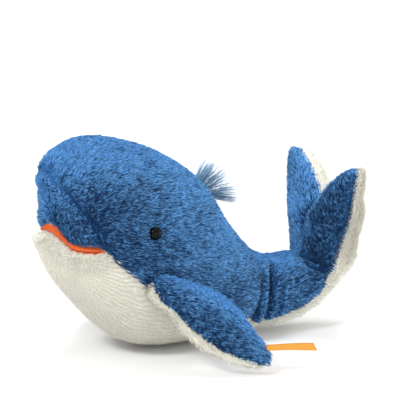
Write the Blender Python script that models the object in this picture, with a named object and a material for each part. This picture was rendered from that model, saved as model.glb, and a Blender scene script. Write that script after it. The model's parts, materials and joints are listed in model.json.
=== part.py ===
"""Plush whale: sewn panels over fibre filling, safety eyes, a hair tuft and a ribbon tag.

Metres, +Z up, the nose points along -X and the whale's left side is -Y. The body, the tail, the two
fluke lobes and the two flippers are each a closed surface through rings of points. A surface is cut
along its seams into fabric panels of one thickness, and encloses a core of filling. Where one limb
turns on another, its rounded root sits in a socket cut for it. The tables are shares, chosen by hand,
of the sizes that they follow.
"""

import math

import bmesh
import bpy
from mathutils import Matrix, Vector
from mathutils.bvhtree import BVHTree

# Fabric, seams and clearances
PANEL_THICKNESS = 0.003
SEAM_GAP = 0.0004
FILLING_CLEARANCE = 0.0004
SOCKET_CLEARANCE = 0.0005
SEAT_CLEARANCE = 0.0003
FLOOR_CUT = 0.0005

# Body, from the nose to the hinge of the tail
BODY_LENGTH = 0.1985
BODY_WIDTH = 0.124
BODY_HEIGHT = 0.180

# Mouth, between the snout and the belly panel
MOUTH_OPENING = 0.0064
LINING_RECESS = 0.0009

# Tail, from its hinge to the hinge of the flukes
TAIL_LENGTH = 0.063
TAIL_RISE = 0.024
TAIL_DEPTH = 0.069
TAIL_WIDTH = 0.056
TAIL_HEIGHT = 0.0355

# Flukes, from their hinge to the tips
FLUKE_HEIGHT = 0.084
FLUKE_SPAN = 0.120
FLUKE_DEPTH = 0.047
FLUKE_ROOT_WIDTH = 0.064

# Flippers, from their hinges to the tips
FLIPPER_LENGTH = 0.102
FLIPPER_CHORD = 0.055
FLIPPER_THICKNESS = 0.024
FLIPPER_ROOT_CHORD = 0.032
FLIPPER_ROOT_DEPTH = 0.018
FLIPPER_FROM_NOSE = 0.082
FLIPPER_HEIGHT = 0.0615

# Eyes, with their shanks and lock washers
EYE_DIAMETER = 0.0108
EYE_DOME_HEIGHT = 0.0044
EYE_FLANGE = 0.0008
EYE_FROM_NOSE = 0.0775
EYE_HEIGHT = 0.108
SHANK_DIAMETER = 0.0038
SHANK_LENGTH = 0.0085
WASHER_DIAMETER = 0.013
WASHER_THICKNESS = 0.0012

# Hair tuft on the back of the head
TUFT_HEIGHT = 0.021
TUFT_LENGTH = 0.024
TUFT_WIDTH = 0.013
TUFT_FROM_NOSE = 0.155
TUFT_CLEARANCE = 0.0006

# Ribbon tag caught in the trailing seam of the left flipper
TAG_LENGTH = 0.034
TAG_WIDTH = 0.011
TAG_THICKNESS = 0.0009
TAG_CLEARANCE = 0.0006

# Angles, in degrees
SNOUT_SEAM_ANGLE = 24.0
TAIL_CURL = 62.0
TAIL_SEAM_ANGLE = 33.0
FLUKE_TILT = 5.0
FLUKE_SEAM_ANGLE = 14.0
FLIPPER_SWEEP = 49.4
FLIPPER_DROP = 29.8
FLIPPER_TWIST = 51.6
FLIPPER_SEAM_ANGLE = 34.0
TUFT_LEAN = 24.0

# Counts
BODY_UPPER_STEPS = 9
BODY_LOWER_STEPS = 5
TAIL_STEPS = 20
LIMB_STEPS = 16
SOCKET_SEGMENTS = 36
SOCKET_RINGS = 18
ROUND_STEPS = 20
DOME_STEPS = 5
TUFT_LOCKS = 8
TAG_STEPS = 8

# Rings of the body: top along and up, bottom along and up, half width, seam up.
# Along is a share of the body's length, up of its height, and the half width of half its width.
BODY_RING_SHARES = (
    (0.003, 0.724, 0.000, 0.526, 0.180, 0.617),
    (0.015, 0.812, 0.008, 0.458, 0.305, 0.608),
    (0.045, 0.892, 0.038, 0.392, 0.448, 0.592),
    (0.088, 0.944, 0.081, 0.334, 0.618, 0.572),
    (0.150, 0.985, 0.138, 0.260, 0.812, 0.541),
    (0.190, 0.997, 0.176, 0.213, 0.885, 0.520),
    (0.254, 1.000, 0.247, 0.128, 0.955, 0.446),
    (0.332, 0.986, 0.327, 0.056, 0.997, 0.376),
    (0.420, 0.959, 0.423, 0.014, 1.000, 0.294),
    (0.506, 0.924, 0.515, 0.000, 0.982, 0.236),
    (0.590, 0.875, 0.600, 0.000, 0.936, 0.197),
    (0.670, 0.817, 0.680, 0.000, 0.871, 0.169),
    (0.744, 0.756, 0.756, 0.000, 0.794, 0.147),
    (0.808, 0.687, 0.826, 0.001, 0.713, 0.128),
    (0.862, 0.602, 0.888, 0.005, 0.629, 0.111),
    (0.914, 0.514, 0.940, 0.014, 0.548, 0.100),
)
NOSE_SHARE = 0.622
WIDEST_SHARE = 0.43
UPPER_FULLNESS = 2.0
LOWER_FULLNESS = 2.15

# How far the mouth gapes, ring by ring from the front to its corner, as shares of its opening
MOUTH_SHARES = (0.86, 0.86, 0.84, 0.90, 1.00)

# Last rings of the body, inside the socket of the tail: place along, half height and half width,
# as shares of the tail's half depth and half width
BODY_END_SHARES = (
    (-0.10, 1.02, 1.03),
    (0.12, 0.60, 0.60),
)

# Rings of the tail along its middle line: place, half depth and half width
TAIL_RING_SHARES = (
    (0.18, 0.98, 1.01),
    (0.38, 0.94, 1.02),
    (0.58, 0.87, 1.02),
    (0.78, 0.77, 1.01),
    (0.92, 0.66, 0.97),
    (1.03, 0.42, 0.62),
)
TAIL_BEND_SHARES = (0.50, -0.10)
TAIL_END_SHARE = 0.34

# Rings of a fluke lobe: height, middle outwards, half chord and half thickness
FLUKE_RING_SHARES = (
    (0.14, 0.09, 0.53, 0.82),
    (0.29, 0.20, 0.51, 0.83),
    (0.44, 0.32, 0.485, 0.80),
    (0.58, 0.430, 0.450, 0.70),
    (0.71, 0.545, 0.395, 0.62),
    (0.83, 0.67, 0.310, 0.53),
    (0.92, 0.78, 0.215, 0.43),
    (0.98, 0.86, 0.120, 0.33),
)
FLUKE_TIP_SHARES = (1.0, 0.88)

# Rings of a flipper: place along, middle towards the trailing edge, half chord and half thickness
FLIPPER_RING_SHARES = (
    (0.11, 0.07, 0.72, 0.84),
    (0.23, 0.03, 0.93, 0.96),
    (0.35, 0.00, 0.99, 1.00),
    (0.46, -0.04, 1.00, 1.00),
    (0.57, -0.09, 0.94, 0.96),
    (0.67, -0.15, 0.83, 0.88),
    (0.77, -0.18, 0.70, 0.78),
    (0.87, -0.18, 0.55, 0.69),
    (0.95, -0.17, 0.36, 0.52),
)
FLIPPER_TIP_SHARES = (1.0, -0.18)
FLIPPER_STAND_SHARE = 0.84

# Rings of the hair tuft: rise, spread, and how much further its tips reach
TUFT_RING_SHARES = (
    (0.30, 0.92, 0.0),
    (0.60, 1.02, 0.38),
)
TUFT_FOOT_SHARE = 0.80
TUFT_HOLLOW_SHARE = 0.5

# Rounded roots: angles round the hinge at which their rings stand, as shares of a quarter turn
ROOT_RING_SHARES = (0.26, 0.50, 0.74, 1.0)

# Fur colours, roughness, and the shiny pieces
BLUE = (0.050, 0.190, 0.510)
WHITE = (0.800, 0.790, 0.740)
ORANGE = (0.480, 0.055, 0.012)
BLACK = (0.008, 0.008, 0.009)
NYLON = (0.620, 0.620, 0.600)
FIBRE = (0.860, 0.860, 0.850)
HAIR = (0.190, 0.300, 0.430)
RIBBON = (0.780, 0.430, 0.050)


def clear_scene():
    for item in list(bpy.data.objects):
        bpy.data.objects.remove(item, do_unlink=True)


def finish(name, colour, roughness, metallic=0.0):
    """A plain material of one colour."""
    material = bpy.data.materials.new(name)
    material.use_nodes = True
    shader = material.node_tree.nodes["Principled BSDF"]
    shader.inputs["Base Color"].default_value = (*colour, 1.0)
    shader.inputs["Roughness"].default_value = roughness
    shader.inputs["Metallic"].default_value = metallic
    return material


def joint_empty(name, place, parent=None):
    """An empty on a joint's axis; the pieces that move with the joint hang from it."""
    empty = bpy.data.objects.new(name, None)
    bpy.context.scene.collection.objects.link(empty)
    if parent:
        empty.parent = parent
        empty.location = place - parent.matrix_world.translation
    else:
        empty.location = place
    bpy.context.view_layer.update()
    return empty


def add_object(name, mesh, material, parent):
    """Make the mesh an object under its parent, with its points measured from the parent's place."""
    bmesh.ops.translate(mesh, verts=mesh.verts, vec=-parent.matrix_world.translation)
    data = bpy.data.meshes.new(name)
    mesh.to_mesh(data)
    mesh.free()
    data.shade_smooth()
    data.set_sharp_from_angle(angle=math.radians(50.0))
    data.materials.append(material)
    item = bpy.data.objects.new(name, data)
    item.parent = parent
    bpy.context.scene.collection.objects.link(item)
    return item


def hidden_cutter(name, mesh, body):
    """A tool that the sockets and holes are cut with; it is no piece of the toy."""
    data = bpy.data.meshes.new(name)
    mesh.to_mesh(data)
    mesh.free()
    item = bpy.data.objects.new(name, data)
    item.parent = body
    item.hide_render = True
    item.display_type = "WIRE"
    bpy.context.scene.collection.objects.link(item)
    return item


def cut(item, cutter):
    modifier = item.modifiers.new(cutter.name, "BOOLEAN")
    modifier.operation = "DIFFERENCE"
    modifier.solver = "EXACT"
    modifier.object = cutter


def frame_matrix(place, x_axis, y_axis, z_axis):
    """The matrix that carries the world's axes to these ones at a place."""
    turn = Matrix((x_axis, y_axis, z_axis)).transposed().to_4x4()
    return Matrix.Translation(place) @ turn


def ball_cutter(name, body, place, along, across, radius, half_length):
    """A ball drawn out along its hinge; every facet lies outside the true shape."""
    mesh = bmesh.new()
    outside = 1.0 / math.cos(math.pi / SOCKET_SEGMENTS)
    bmesh.ops.create_uvsphere(mesh, u_segments=SOCKET_SEGMENTS, v_segments=SOCKET_RINGS, radius=outside)
    third = along.cross(across)
    shape = frame_matrix(place, across * radius, third * radius, along * half_length)
    bmesh.ops.transform(mesh, matrix=shape, verts=mesh.verts)
    bmesh.ops.recalc_face_normals(mesh, faces=mesh.faces)
    return hidden_cutter(name, mesh, body)


def mirrored(mesh):
    """The same mesh on the whale's other side."""
    twin = mesh.copy()
    bmesh.ops.scale(twin, vec=(1.0, -1.0, 1.0), verts=twin.verts)
    bmesh.ops.reverse_faces(twin, faces=twin.faces)
    return twin


def mirrored_point(point):
    return Vector((point.x, -point.y, point.z))


def ring_surface(start, rings, end, panel_of):
    """A closed surface from a point, through rings, to a point; panel_of names the strip after point j."""
    mesh = bmesh.new()
    panel = mesh.faces.layers.int.new("panel")
    count = len(rings[0])
    loops = [[mesh.verts.new(point) for point in ring] for ring in rings]
    first = mesh.verts.new(start)
    last = mesh.verts.new(end)
    for j in range(count):
        k = (j + 1) % count
        faces = [mesh.faces.new((first, loops[0][k], loops[0][j]))]
        for lower, upper in zip(loops, loops[1:]):
            faces.append(mesh.faces.new((lower[j], lower[k], upper[k], upper[j])))
        faces.append(mesh.faces.new((last, loops[-1][j], loops[-1][k])))
        for face in faces:
            face[panel] = panel_of(j)
    bmesh.ops.recalc_face_normals(mesh, faces=mesh.faces)
    mesh.normal_update()
    return mesh


def seam_shifts(surface, number, half_gap):
    """How far each point on a panel's edge draws back into the panel."""
    panel = surface.faces.layers.int["panel"]
    inward = {}
    for face in surface.faces:
        if face[panel] != number:
            continue
        for loop in face.loops:
            others = [other for other in loop.edge.link_faces if other is not face]
            if others and others[0][panel] == number:
                continue
            run = (loop.link_loop_next.vert.co - loop.vert.co).normalized()
            into = face.normal.cross(run)
            for vert in loop.edge.verts:
                inward.setdefault(vert, []).append(into)
    shifts = {}
    for vert, ways in inward.items():
        total = ways[0] + ways[1]
        shifts[vert] = total * (2.0 * half_gap(vert) / total.length_squared)
    return shifts


def panel_solid(surface, number, half_gap):
    """One panel as a closed solid: its faces, the same faces one thickness inside, and a rim between."""
    panel = surface.faces.layers.int["panel"]
    shifts = seam_shifts(surface, number, half_gap)
    mesh = bmesh.new()
    outer = {}
    inner = {}
    for face in surface.faces:
        if face[panel] != number:
            continue
        for vert in face.verts:
            if vert in outer:
                continue
            place = vert.co + shifts.get(vert, Vector())
            outer[vert] = mesh.verts.new(place)
            inner[vert] = mesh.verts.new(place - vert.normal * PANEL_THICKNESS)
        mesh.faces.new([outer[vert] for vert in face.verts])
        mesh.faces.new([inner[vert] for vert in reversed(face.verts)])
        for loop in face.loops:
            others = [other for other in loop.edge.link_faces if other is not face]
            if others and others[0][panel] == number:
                continue
            one = loop.vert
            two = loop.link_loop_next.vert
            # The panel on the other side of the seam has the same diagonal in its own rim.
            if one.index < two.index:
                mesh.faces.new((outer[two], outer[one], inner[two]))
                mesh.faces.new((outer[one], inner[one], inner[two]))
            else:
                mesh.faces.new((outer[two], outer[one], inner[one]))
                mesh.faces.new((outer[two], inner[one], inner[two]))
    return mesh


def core_solid(surface):
    """The filling: the whole surface drawn in by the fabric and a clearance."""
    depth = PANEL_THICKNESS + FILLING_CLEARANCE
    mesh = surface.copy()
    mesh.normal_update()
    places = [vert.co - vert.normal * depth for vert in mesh.verts]
    for vert, place in zip(mesh.verts, places):
        vert.co = place
    return mesh


def split_alike(surface):
    """Triangles before the panels and the filling are made, so that all of them bend along the same lines."""
    bmesh.ops.triangulate(surface, faces=surface.faces, quad_method="SHORT_EDGE")
    surface.verts.index_update()
    surface.normal_update()


def keep_behind(mesh, point, normal):
    """Cut a closed mesh at a plane, drop what lies along the normal, and close the cut."""
    everything = mesh.verts[:] + mesh.edges[:] + mesh.faces[:]
    result = bmesh.ops.bisect_plane(mesh, geom=everything, plane_co=point, plane_no=normal, clear_outer=True)
    edges = [item for item in result["geom_cut"] if isinstance(item, bmesh.types.BMEdge)]
    bmesh.ops.triangle_fill(mesh, edges=edges, use_beauty=True)
    bmesh.ops.recalc_face_normals(mesh, faces=mesh.faces)


def nearest_hit(tree, origin, way):
    """Where a line meets a surface, and the surface's outward direction there."""
    place, normal, _, _ = tree.ray_cast(origin, way)
    return place, normal


# Body

BACK_LEFT, BACK_RIGHT, SNOUT, BELLY = range(4)


def body_ring(row):
    """One ring of the body, from its top down the right side and up the left."""
    top_along, top_up, bottom_along, bottom_up, width, seam_up = row
    top = Vector((top_along * BODY_LENGTH, 0.0, top_up * BODY_HEIGHT))
    bottom = Vector((bottom_along * BODY_LENGTH, 0.0, bottom_up * BODY_HEIGHT - FLOOR_CUT))
    return ring_points(top, bottom, width * BODY_WIDTH / 2.0, seam_up * BODY_HEIGHT)


def ring_points(top, bottom, half_width, seam_height):
    """Points round a section that leans from bottom to top, with one of them on the seam at each side."""
    height = top.z - bottom.z
    below = WIDEST_SHARE * height
    above = height - below
    middle = bottom.z + below
    drop = max(0.0, (middle - seam_height) / below)
    seam_angle = math.pi / 2.0 + math.asin(min(1.0, drop ** (LOWER_FULLNESS / 2.0)))
    angles = [seam_angle * step / BODY_UPPER_STEPS for step in range(BODY_UPPER_STEPS)]
    rest = math.pi - seam_angle
    angles += [seam_angle + rest * step / BODY_LOWER_STEPS for step in range(BODY_LOWER_STEPS + 1)]
    side = []
    for angle in angles:
        fullness = UPPER_FULLNESS if angle < math.pi / 2.0 else LOWER_FULLNESS
        reach = above if angle < math.pi / 2.0 else -below
        rise = reach * abs(math.cos(angle)) ** (2.0 / fullness)
        out = half_width * abs(math.sin(angle)) ** (2.0 / fullness)
        share = (middle + rise - bottom.z) / height
        along = bottom.x + (top.x - bottom.x) * share
        side.append(Vector((along, out, middle + rise)))
    side[0].y = 0.0
    side[-1].y = 0.0
    return side + [mirrored_point(point) for point in reversed(side[1:-1])]


def tail_hinge():
    return Vector((BODY_LENGTH, 0.0, TAIL_HEIGHT))


def body_surface():
    rings = [body_ring(row) for row in BODY_RING_SHARES]
    hinge = tail_hinge()
    for along, depth, width in BODY_END_SHARES:
        place = hinge + Vector((along * TAIL_DEPTH / 2.0, 0.0, 0.0))
        rise = Vector((0.0, 0.0, min(depth * TAIL_DEPTH / 2.0, hinge.z - SEAT_CLEARANCE)))
        seam_height = hinge.z - rise.z * math.sin(math.radians(TAIL_SEAM_ANGLE))
        rings.append(ring_points(place + rise, place - rise, width * TAIL_WIDTH / 2.0, seam_height))
    seam = BODY_UPPER_STEPS
    count = len(rings[0])

    def panel_of(j):
        if seam <= j < count - seam:
            return BELLY
        return BACK_RIGHT if j < seam else BACK_LEFT

    nose = Vector((0.0, 0.0, NOSE_SHARE * BODY_HEIGHT))
    end = hinge + Vector((TAIL_DEPTH * SEAM_GAP / PANEL_THICKNESS, 0.0, 0.0))
    surface = ring_surface(nose, rings, end, panel_of)
    corner = rings[len(MOUTH_SHARES)][seam]
    lips = [nose] + [ring[seam] for ring in rings[: len(MOUTH_SHARES)]]
    return surface, corner, lips


def mark_snout(surface, corner):
    """Cut the upper faces along the snout seam, over the nose from one mouth corner to the other."""
    panel = surface.faces.layers.int["panel"]
    lean = math.radians(SNOUT_SEAM_ANGLE)
    ahead = Vector((-math.cos(lean), 0.0, -math.sin(lean)))
    upper = [face for face in surface.faces if face[panel] != BELLY]
    parts = set(upper)
    for face in upper:
        parts.update(face.edges)
        parts.update(face.verts)
    snap = SEAM_GAP * SEAM_GAP / PANEL_THICKNESS
    bmesh.ops.bisect_plane(surface, geom=list(parts), dist=snap, plane_co=corner, plane_no=ahead)
    for face in surface.faces:
        if face[panel] != BELLY and (face.calc_center_median() - corner).dot(ahead) > 0.0:
            face[panel] = SNOUT
    split_alike(surface)


def lip_opening(lips):
    """Half the gap that the panels leave at a point of the seam: the mouth's where it gapes."""

    def half_gap(vert):
        across = Vector((vert.co.x, abs(vert.co.y), vert.co.z))
        for number, place in enumerate(lips):
            if (across - place).length < SEAM_GAP:
                return MOUTH_SHARES[max(0, number - 1)] * MOUTH_OPENING / 2.0
        return SEAM_GAP / 2.0

    return half_gap


def lining_solid(surface, lips, half_gap):
    """The red strip that fills the mouth between the two lips, a little behind them."""
    upper = seam_shifts(surface, SNOUT, half_gap)
    lower = seam_shifts(surface, BELLY, half_gap)
    row = []
    for side in (-1.0, 1.0):
        places = lips if side > 0.0 else list(reversed(lips[1:]))
        for place in places:
            target = Vector((place.x, side * place.y, place.z))
            row.append(min(upper, key=lambda vert: (vert.co - target).length))
    mesh = bmesh.new()
    columns = []
    for vert in row:
        column = []
        for depth in (LINING_RECESS, PANEL_THICKNESS):
            sink = vert.normal * depth
            for shift in (upper[vert], lower[vert]):
                drawn = shift * (1.0 - SEAT_CLEARANCE / shift.length)
                column.append(mesh.verts.new(vert.co + drawn - sink))
        columns.append(column)
    for one, two in zip(columns, columns[1:]):
        for a, b in ((0, 1), (1, 3), (3, 2), (2, 0)):
            mesh.faces.new((one[a], one[b], two[b], two[a]))
    for end in (columns[0], columns[-1]):
        mesh.faces.new((end[0], end[1], end[3], end[2]))
    bmesh.ops.recalc_face_normals(mesh, faces=mesh.faces)
    return mesh


# Limbs

TOP, UNDERSIDE = range(2)


def limb_ring(place, across, out, half_chord, half_depth, angles):
    wide = across * half_chord
    deep = out * half_depth
    return [place + wide * math.cos(angle) + deep * math.sin(angle) for angle in angles]


def seam_angles(first, last, steps):
    """Angles round a limb, over the top from its first seam to its last and then under it.

    The second value is the top's share of the steps.
    """
    top = round(steps * (last - first) / math.tau)
    turns = [first + (last - first) * step / top for step in range(top)]
    rest = math.tau - (last - first)
    under = steps - top
    turns += [last + rest * step / under for step in range(under)]
    return turns, top


def root_rings(hinge, along, across, out, half_chord, half_depth, angles):
    """The rounded root of a limb: half a ball drawn out along the hinge, and its pole."""
    rings = []
    for share in ROOT_RING_SHARES:
        turn = share * math.pi / 2.0
        place = hinge - along * (half_depth * math.cos(turn))
        size = math.sin(turn)
        rings.append(limb_ring(place, across, out, half_chord * size, half_depth * size, angles))
    return hinge - along * half_depth, rings


def limb_panels(surface):
    """The two panels and the core of a limb, as meshes."""

    def even(_):
        return SEAM_GAP / 2.0

    split_alike(surface)
    return panel_solid(surface, TOP, even), panel_solid(surface, UNDERSIDE, even), core_solid(surface)


def bezier(points, t):
    """A point on a curve drawn by four points, and the curve's direction there."""
    a, b, c, d = points
    u = 1.0 - t
    place = a * u**3 + b * (3.0 * u * u * t) + c * (3.0 * u * t * t) + d * t**3
    way = (b - a) * (u * u) + (c - b) * (2.0 * u * t) + (d - c) * (t * t)
    return place, way.normalized()


def fluke_hinge():
    return tail_hinge() + Vector((TAIL_LENGTH, 0.0, TAIL_RISE))


def tail_surface():
    hinge = tail_hinge()
    far = fluke_hinge()
    curl = math.radians(TAIL_CURL)
    end_way = Vector((math.cos(curl), 0.0, math.sin(curl)))
    bend_along, bend_up = TAIL_BEND_SHARES
    line = (
        hinge,
        hinge + Vector((bend_along * TAIL_LENGTH, 0.0, bend_up * TAIL_RISE)),
        far - end_way * (TAIL_END_SHARE * TAIL_LENGTH),
        far,
    )
    across = Vector((0.0, -1.0, 0.0))
    drop = math.radians(TAIL_SEAM_ANGLE)
    angles, top = seam_angles(-drop, math.pi + drop, TAIL_STEPS)
    forward = Vector((1.0, 0.0, 0.0))
    up = Vector((0.0, 0.0, 1.0))
    start, rings = root_rings(hinge, forward, across, up, TAIL_WIDTH / 2.0, TAIL_DEPTH / 2.0, angles)
    for t, depth, width in TAIL_RING_SHARES:
        place, way = bezier(line, min(t, 1.0))
        place = place + way * (max(0.0, t - 1.0) * TAIL_LENGTH)
        out = Vector((-way.z, 0.0, way.x))
        half_width = width * TAIL_WIDTH / 2.0
        half_depth = depth * TAIL_DEPTH / 2.0
        rings.append(limb_ring(place, across, out, half_width, half_depth, angles))
    end = far + end_way * (FLUKE_DEPTH / 8.0)
    return ring_surface(start, rings, end, lambda j: TOP if j < top else UNDERSIDE)


def fluke_axes():
    tilt = math.radians(FLUKE_TILT)
    along = Vector((math.sin(tilt), 0.0, math.cos(tilt)))
    return along, Vector((0.0, -1.0, 0.0)), Vector((-along.z, 0.0, along.x))


def fluke_surface():
    """The left lobe, before it is cut where it meets the right one."""
    along, across, out = fluke_axes()
    hinge = fluke_hinge()
    seam = math.radians(FLUKE_SEAM_ANGLE)
    angles, top = seam_angles(seam, math.pi - seam, LIMB_STEPS)
    half_root = FLUKE_ROOT_WIDTH / 2.0
    start, rings = root_rings(hinge, along, across, out, half_root, FLUKE_DEPTH / 2.0, angles)
    half_span = FLUKE_SPAN / 2.0
    for height, middle, chord, depth in FLUKE_RING_SHARES:
        place = hinge + along * (height * FLUKE_HEIGHT) + across * (middle * half_span)
        rings.append(limb_ring(place, across, out, chord * half_span, depth * FLUKE_DEPTH / 2.0, angles))
    height, middle = FLUKE_TIP_SHARES
    end = hinge + along * (height * FLUKE_HEIGHT) + across * (middle * half_span)
    return ring_surface(start, rings, end, lambda j: TOP if j < top else UNDERSIDE)


def flipper_axes():
    """Directions of the left flipper: to its tip, to its trailing edge, and out of its top."""
    sweep = math.radians(FLIPPER_SWEEP)
    drop = math.radians(FLIPPER_DROP)
    twist = math.radians(FLIPPER_TWIST)
    along = Vector((math.sin(sweep) * math.cos(drop), -math.cos(sweep) * math.cos(drop), -math.sin(drop)))
    level = Vector((math.cos(sweep), math.sin(sweep), 0.0))
    lift = along.cross(level)
    across = level * math.cos(twist) + lift * math.sin(twist)
    out = lift * math.cos(twist) - level * math.sin(twist)
    return along, across, out


def flipper_hinge(tree):
    """The hinge of the left flipper stands off the body's side by most of its root's radius."""
    origin = Vector((FLIPPER_FROM_NOSE, -BODY_WIDTH, FLIPPER_HEIGHT))
    place, normal = nearest_hit(tree, origin, Vector((0.0, 1.0, 0.0)))
    return place + normal * (FLIPPER_STAND_SHARE * FLIPPER_ROOT_DEPTH / 2.0)


def flipper_surface(hinge):
    along, across, out = flipper_axes()
    seam = math.radians(FLIPPER_SEAM_ANGLE)
    angles, top = seam_angles(0.0, math.pi - seam, LIMB_STEPS)
    start, rings = root_rings(
        hinge, along, across, out, FLIPPER_ROOT_CHORD / 2.0, FLIPPER_ROOT_DEPTH / 2.0, angles
    )
    half_chord = FLIPPER_CHORD / 2.0
    for reach, middle, chord, depth in FLIPPER_RING_SHARES:
        place = hinge + along * (reach * FLIPPER_LENGTH) + across * (middle * half_chord)
        rings.append(
            limb_ring(place, across, out, chord * half_chord, depth * FLIPPER_THICKNESS / 2.0, angles)
        )
    reach, middle = FLIPPER_TIP_SHARES
    end = hinge + along * (reach * FLIPPER_LENGTH) + across * (middle * half_chord)
    return ring_surface(start, rings, end, lambda j: TOP if j < top else UNDERSIDE)


# Small pieces


def turned(profile, place, normal):
    """A turned piece from points of radius and height, set with its axis along a normal."""
    mesh = bmesh.new()
    verts = [mesh.verts.new((radius, 0.0, height)) for radius, height in profile]
    edges = [mesh.edges.new(pair) for pair in zip(verts, verts[1:])]
    if profile[0][0] > 0.0:
        edges.append(mesh.edges.new((verts[-1], verts[0])))
    bmesh.ops.spin(
        mesh,
        geom=verts + edges,
        axis=(0.0, 0.0, 1.0),
        cent=(0.0, 0.0, 0.0),
        angle=math.tau,
        steps=ROUND_STEPS,
        use_merge=True,
    )
    bmesh.ops.remove_doubles(mesh, verts=mesh.verts, dist=SEAT_CLEARANCE / 10.0)
    turn = normal.to_track_quat("Z", "Y").to_matrix().to_4x4()
    bmesh.ops.transform(mesh, matrix=Matrix.Translation(place) @ turn, verts=mesh.verts)
    bmesh.ops.recalc_face_normals(mesh, faces=mesh.faces)
    return mesh


def eye_solid(place, normal):
    """A domed safety eye on its shank; its flange rests on the fabric."""
    half = EYE_DIAMETER / 2.0
    dome = EYE_DOME_HEIGHT - EYE_FLANGE
    profile = []
    for step in range(DOME_STEPS + 1):
        turn = math.pi / 2.0 * step / DOME_STEPS
        profile.append((half * math.sin(turn), EYE_FLANGE + dome * math.cos(turn)))
    profile.append((half, 0.0))
    profile.append((SHANK_DIAMETER / 2.0, 0.0))
    profile.append((SHANK_DIAMETER / 2.0, -SHANK_LENGTH))
    profile.append((0.0, -SHANK_LENGTH))
    return turned(profile, place + normal * SEAT_CLEARANCE, normal)


def washer_solid(place, normal):
    """The lock washer that grips the shank behind the fabric."""
    inside = SHANK_DIAMETER / 2.0 + SEAT_CLEARANCE
    outside = WASHER_DIAMETER / 2.0
    crown = WASHER_DIAMETER * WASHER_DIAMETER / BODY_WIDTH / 4.0
    high = -(PANEL_THICKNESS + SEAT_CLEARANCE + crown)
    low = high - WASHER_THICKNESS
    profile = [(inside, low), (outside, low), (outside, high), (inside, high)]
    return turned(profile, place, normal)


def peg_cutter(name, body, place, normal, radius, low, high):
    profile = [(0.0, high), (radius, high), (radius, low), (0.0, low)]
    return hidden_cutter(name, turned(profile, place, normal), body)


def tuft_ring(place, up, rise_share, spread_share, tip_share):
    """One ring of the tuft; every second point is a tip that stands tip_share higher and further out."""
    across = Vector((0.0, 1.0, 0.0))
    along = across.cross(up)
    points = []
    for number in range(2 * TUFT_LOCKS):
        angle = math.tau * number / (2 * TUFT_LOCKS)
        extra = tip_share if number % 2 == 0 else 0.0
        side = along * (math.cos(angle) * TUFT_LENGTH / 2.0) + across * (math.sin(angle) * TUFT_WIDTH / 2.0)
        points.append(place + up * ((rise_share + extra) * TUFT_HEIGHT) + side * (spread_share + extra))
    return points


def tuft_solid(tree):
    """A fan of hair locks on one root: its foot follows the back, and its upper edge rises to the tips."""
    down = Vector((0.0, 0.0, -1.0))
    place, normal = nearest_hit(tree, Vector((TUFT_FROM_NOSE, 0.0, 2.0 * BODY_HEIGHT)), down)
    up = Matrix.Rotation(math.radians(TUFT_LEAN), 3, "Y") @ normal
    mesh = bmesh.new()
    foot = []
    for point in tuft_ring(place + normal * TUFT_HEIGHT, normal, 0.0, TUFT_FOOT_SHARE, 0.0):
        seat, way = nearest_hit(tree, point, -normal)
        foot.append(seat + way * TUFT_CLEARANCE)
    rings = [foot]
    rings += [tuft_ring(place, up, *shares) for shares in TUFT_RING_SHARES]
    rings = [[mesh.verts.new(point) for point in ring] for ring in rings]
    points = 2 * TUFT_LOCKS
    middle = mesh.verts.new(place + up * (TUFT_HOLLOW_SHARE * TUFT_HEIGHT))
    for lower, upper in zip(rings, rings[1:]):
        for j in range(points):
            k = (j + 1) % points
            mesh.faces.new((lower[j], lower[k], upper[k], upper[j]))
    for j in range(points):
        mesh.faces.new((rings[-1][j], rings[-1][(j + 1) % points], middle))
    mesh.faces.new(rings[0])
    bmesh.ops.recalc_face_normals(mesh, faces=mesh.faces)
    return mesh


def tag_place(hinge):
    """Where the tag leaves the trailing edge of the left flipper, and the way that it lies."""
    along, across, _ = flipper_axes()
    reach, middle, chord, _ = FLIPPER_RING_SHARES[-1]
    edge = hinge + along * (reach * FLIPPER_LENGTH) + across * ((middle + chord) * FLIPPER_CHORD / 2.0)
    way = Vector((along.x, along.y / 4.0, 0.0)).normalized()
    return edge + way * TAG_CLEARANCE, way


def tag_solid(place, way):
    """A folded ribbon, thin and a little arched, that lies away from the flipper."""
    side = Vector((0.0, 0.0, 1.0)).cross(way)
    up = way.cross(side) * -1.0 if way.cross(side).z < 0.0 else way.cross(side)
    mesh = bmesh.new()
    columns = []
    for step in range(TAG_STEPS + 1):
        share = step / TAG_STEPS
        arch = math.sin(math.pi * share) * TAG_THICKNESS
        middle = place + way * (share * TAG_LENGTH) + up * arch
        column = []
        for edge in (-1.0, 1.0):
            for face in (0.0, 1.0):
                point = middle + side * (edge * TAG_WIDTH / 2.0) + up * (face * TAG_THICKNESS)
                column.append(mesh.verts.new(point))
        columns.append(column)
    for one, two in zip(columns, columns[1:]):
        for a, b in ((0, 1), (1, 3), (3, 2), (2, 0)):
            mesh.faces.new((one[a], one[b], two[b], two[a]))
    for end in (columns[0], columns[-1]):
        mesh.faces.new((end[0], end[1], end[3], end[2]))
    bmesh.ops.recalc_face_normals(mesh, faces=mesh.faces)
    return mesh


# Assembly


def centre(body):
    """Move the whole toy so that the origin is under the middle of its box."""
    bpy.context.view_layer.update()
    pieces = [item for item in bpy.data.objects if item.type == "MESH" and not item.hide_render]
    places = [item.matrix_world @ vert.co for item in pieces for vert in item.data.vertices]
    along = [place.x for place in places]
    across = [place.y for place in places]
    body.location = Vector((min(along) + max(along), min(across) + max(across), 0.0)) * -0.5


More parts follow.
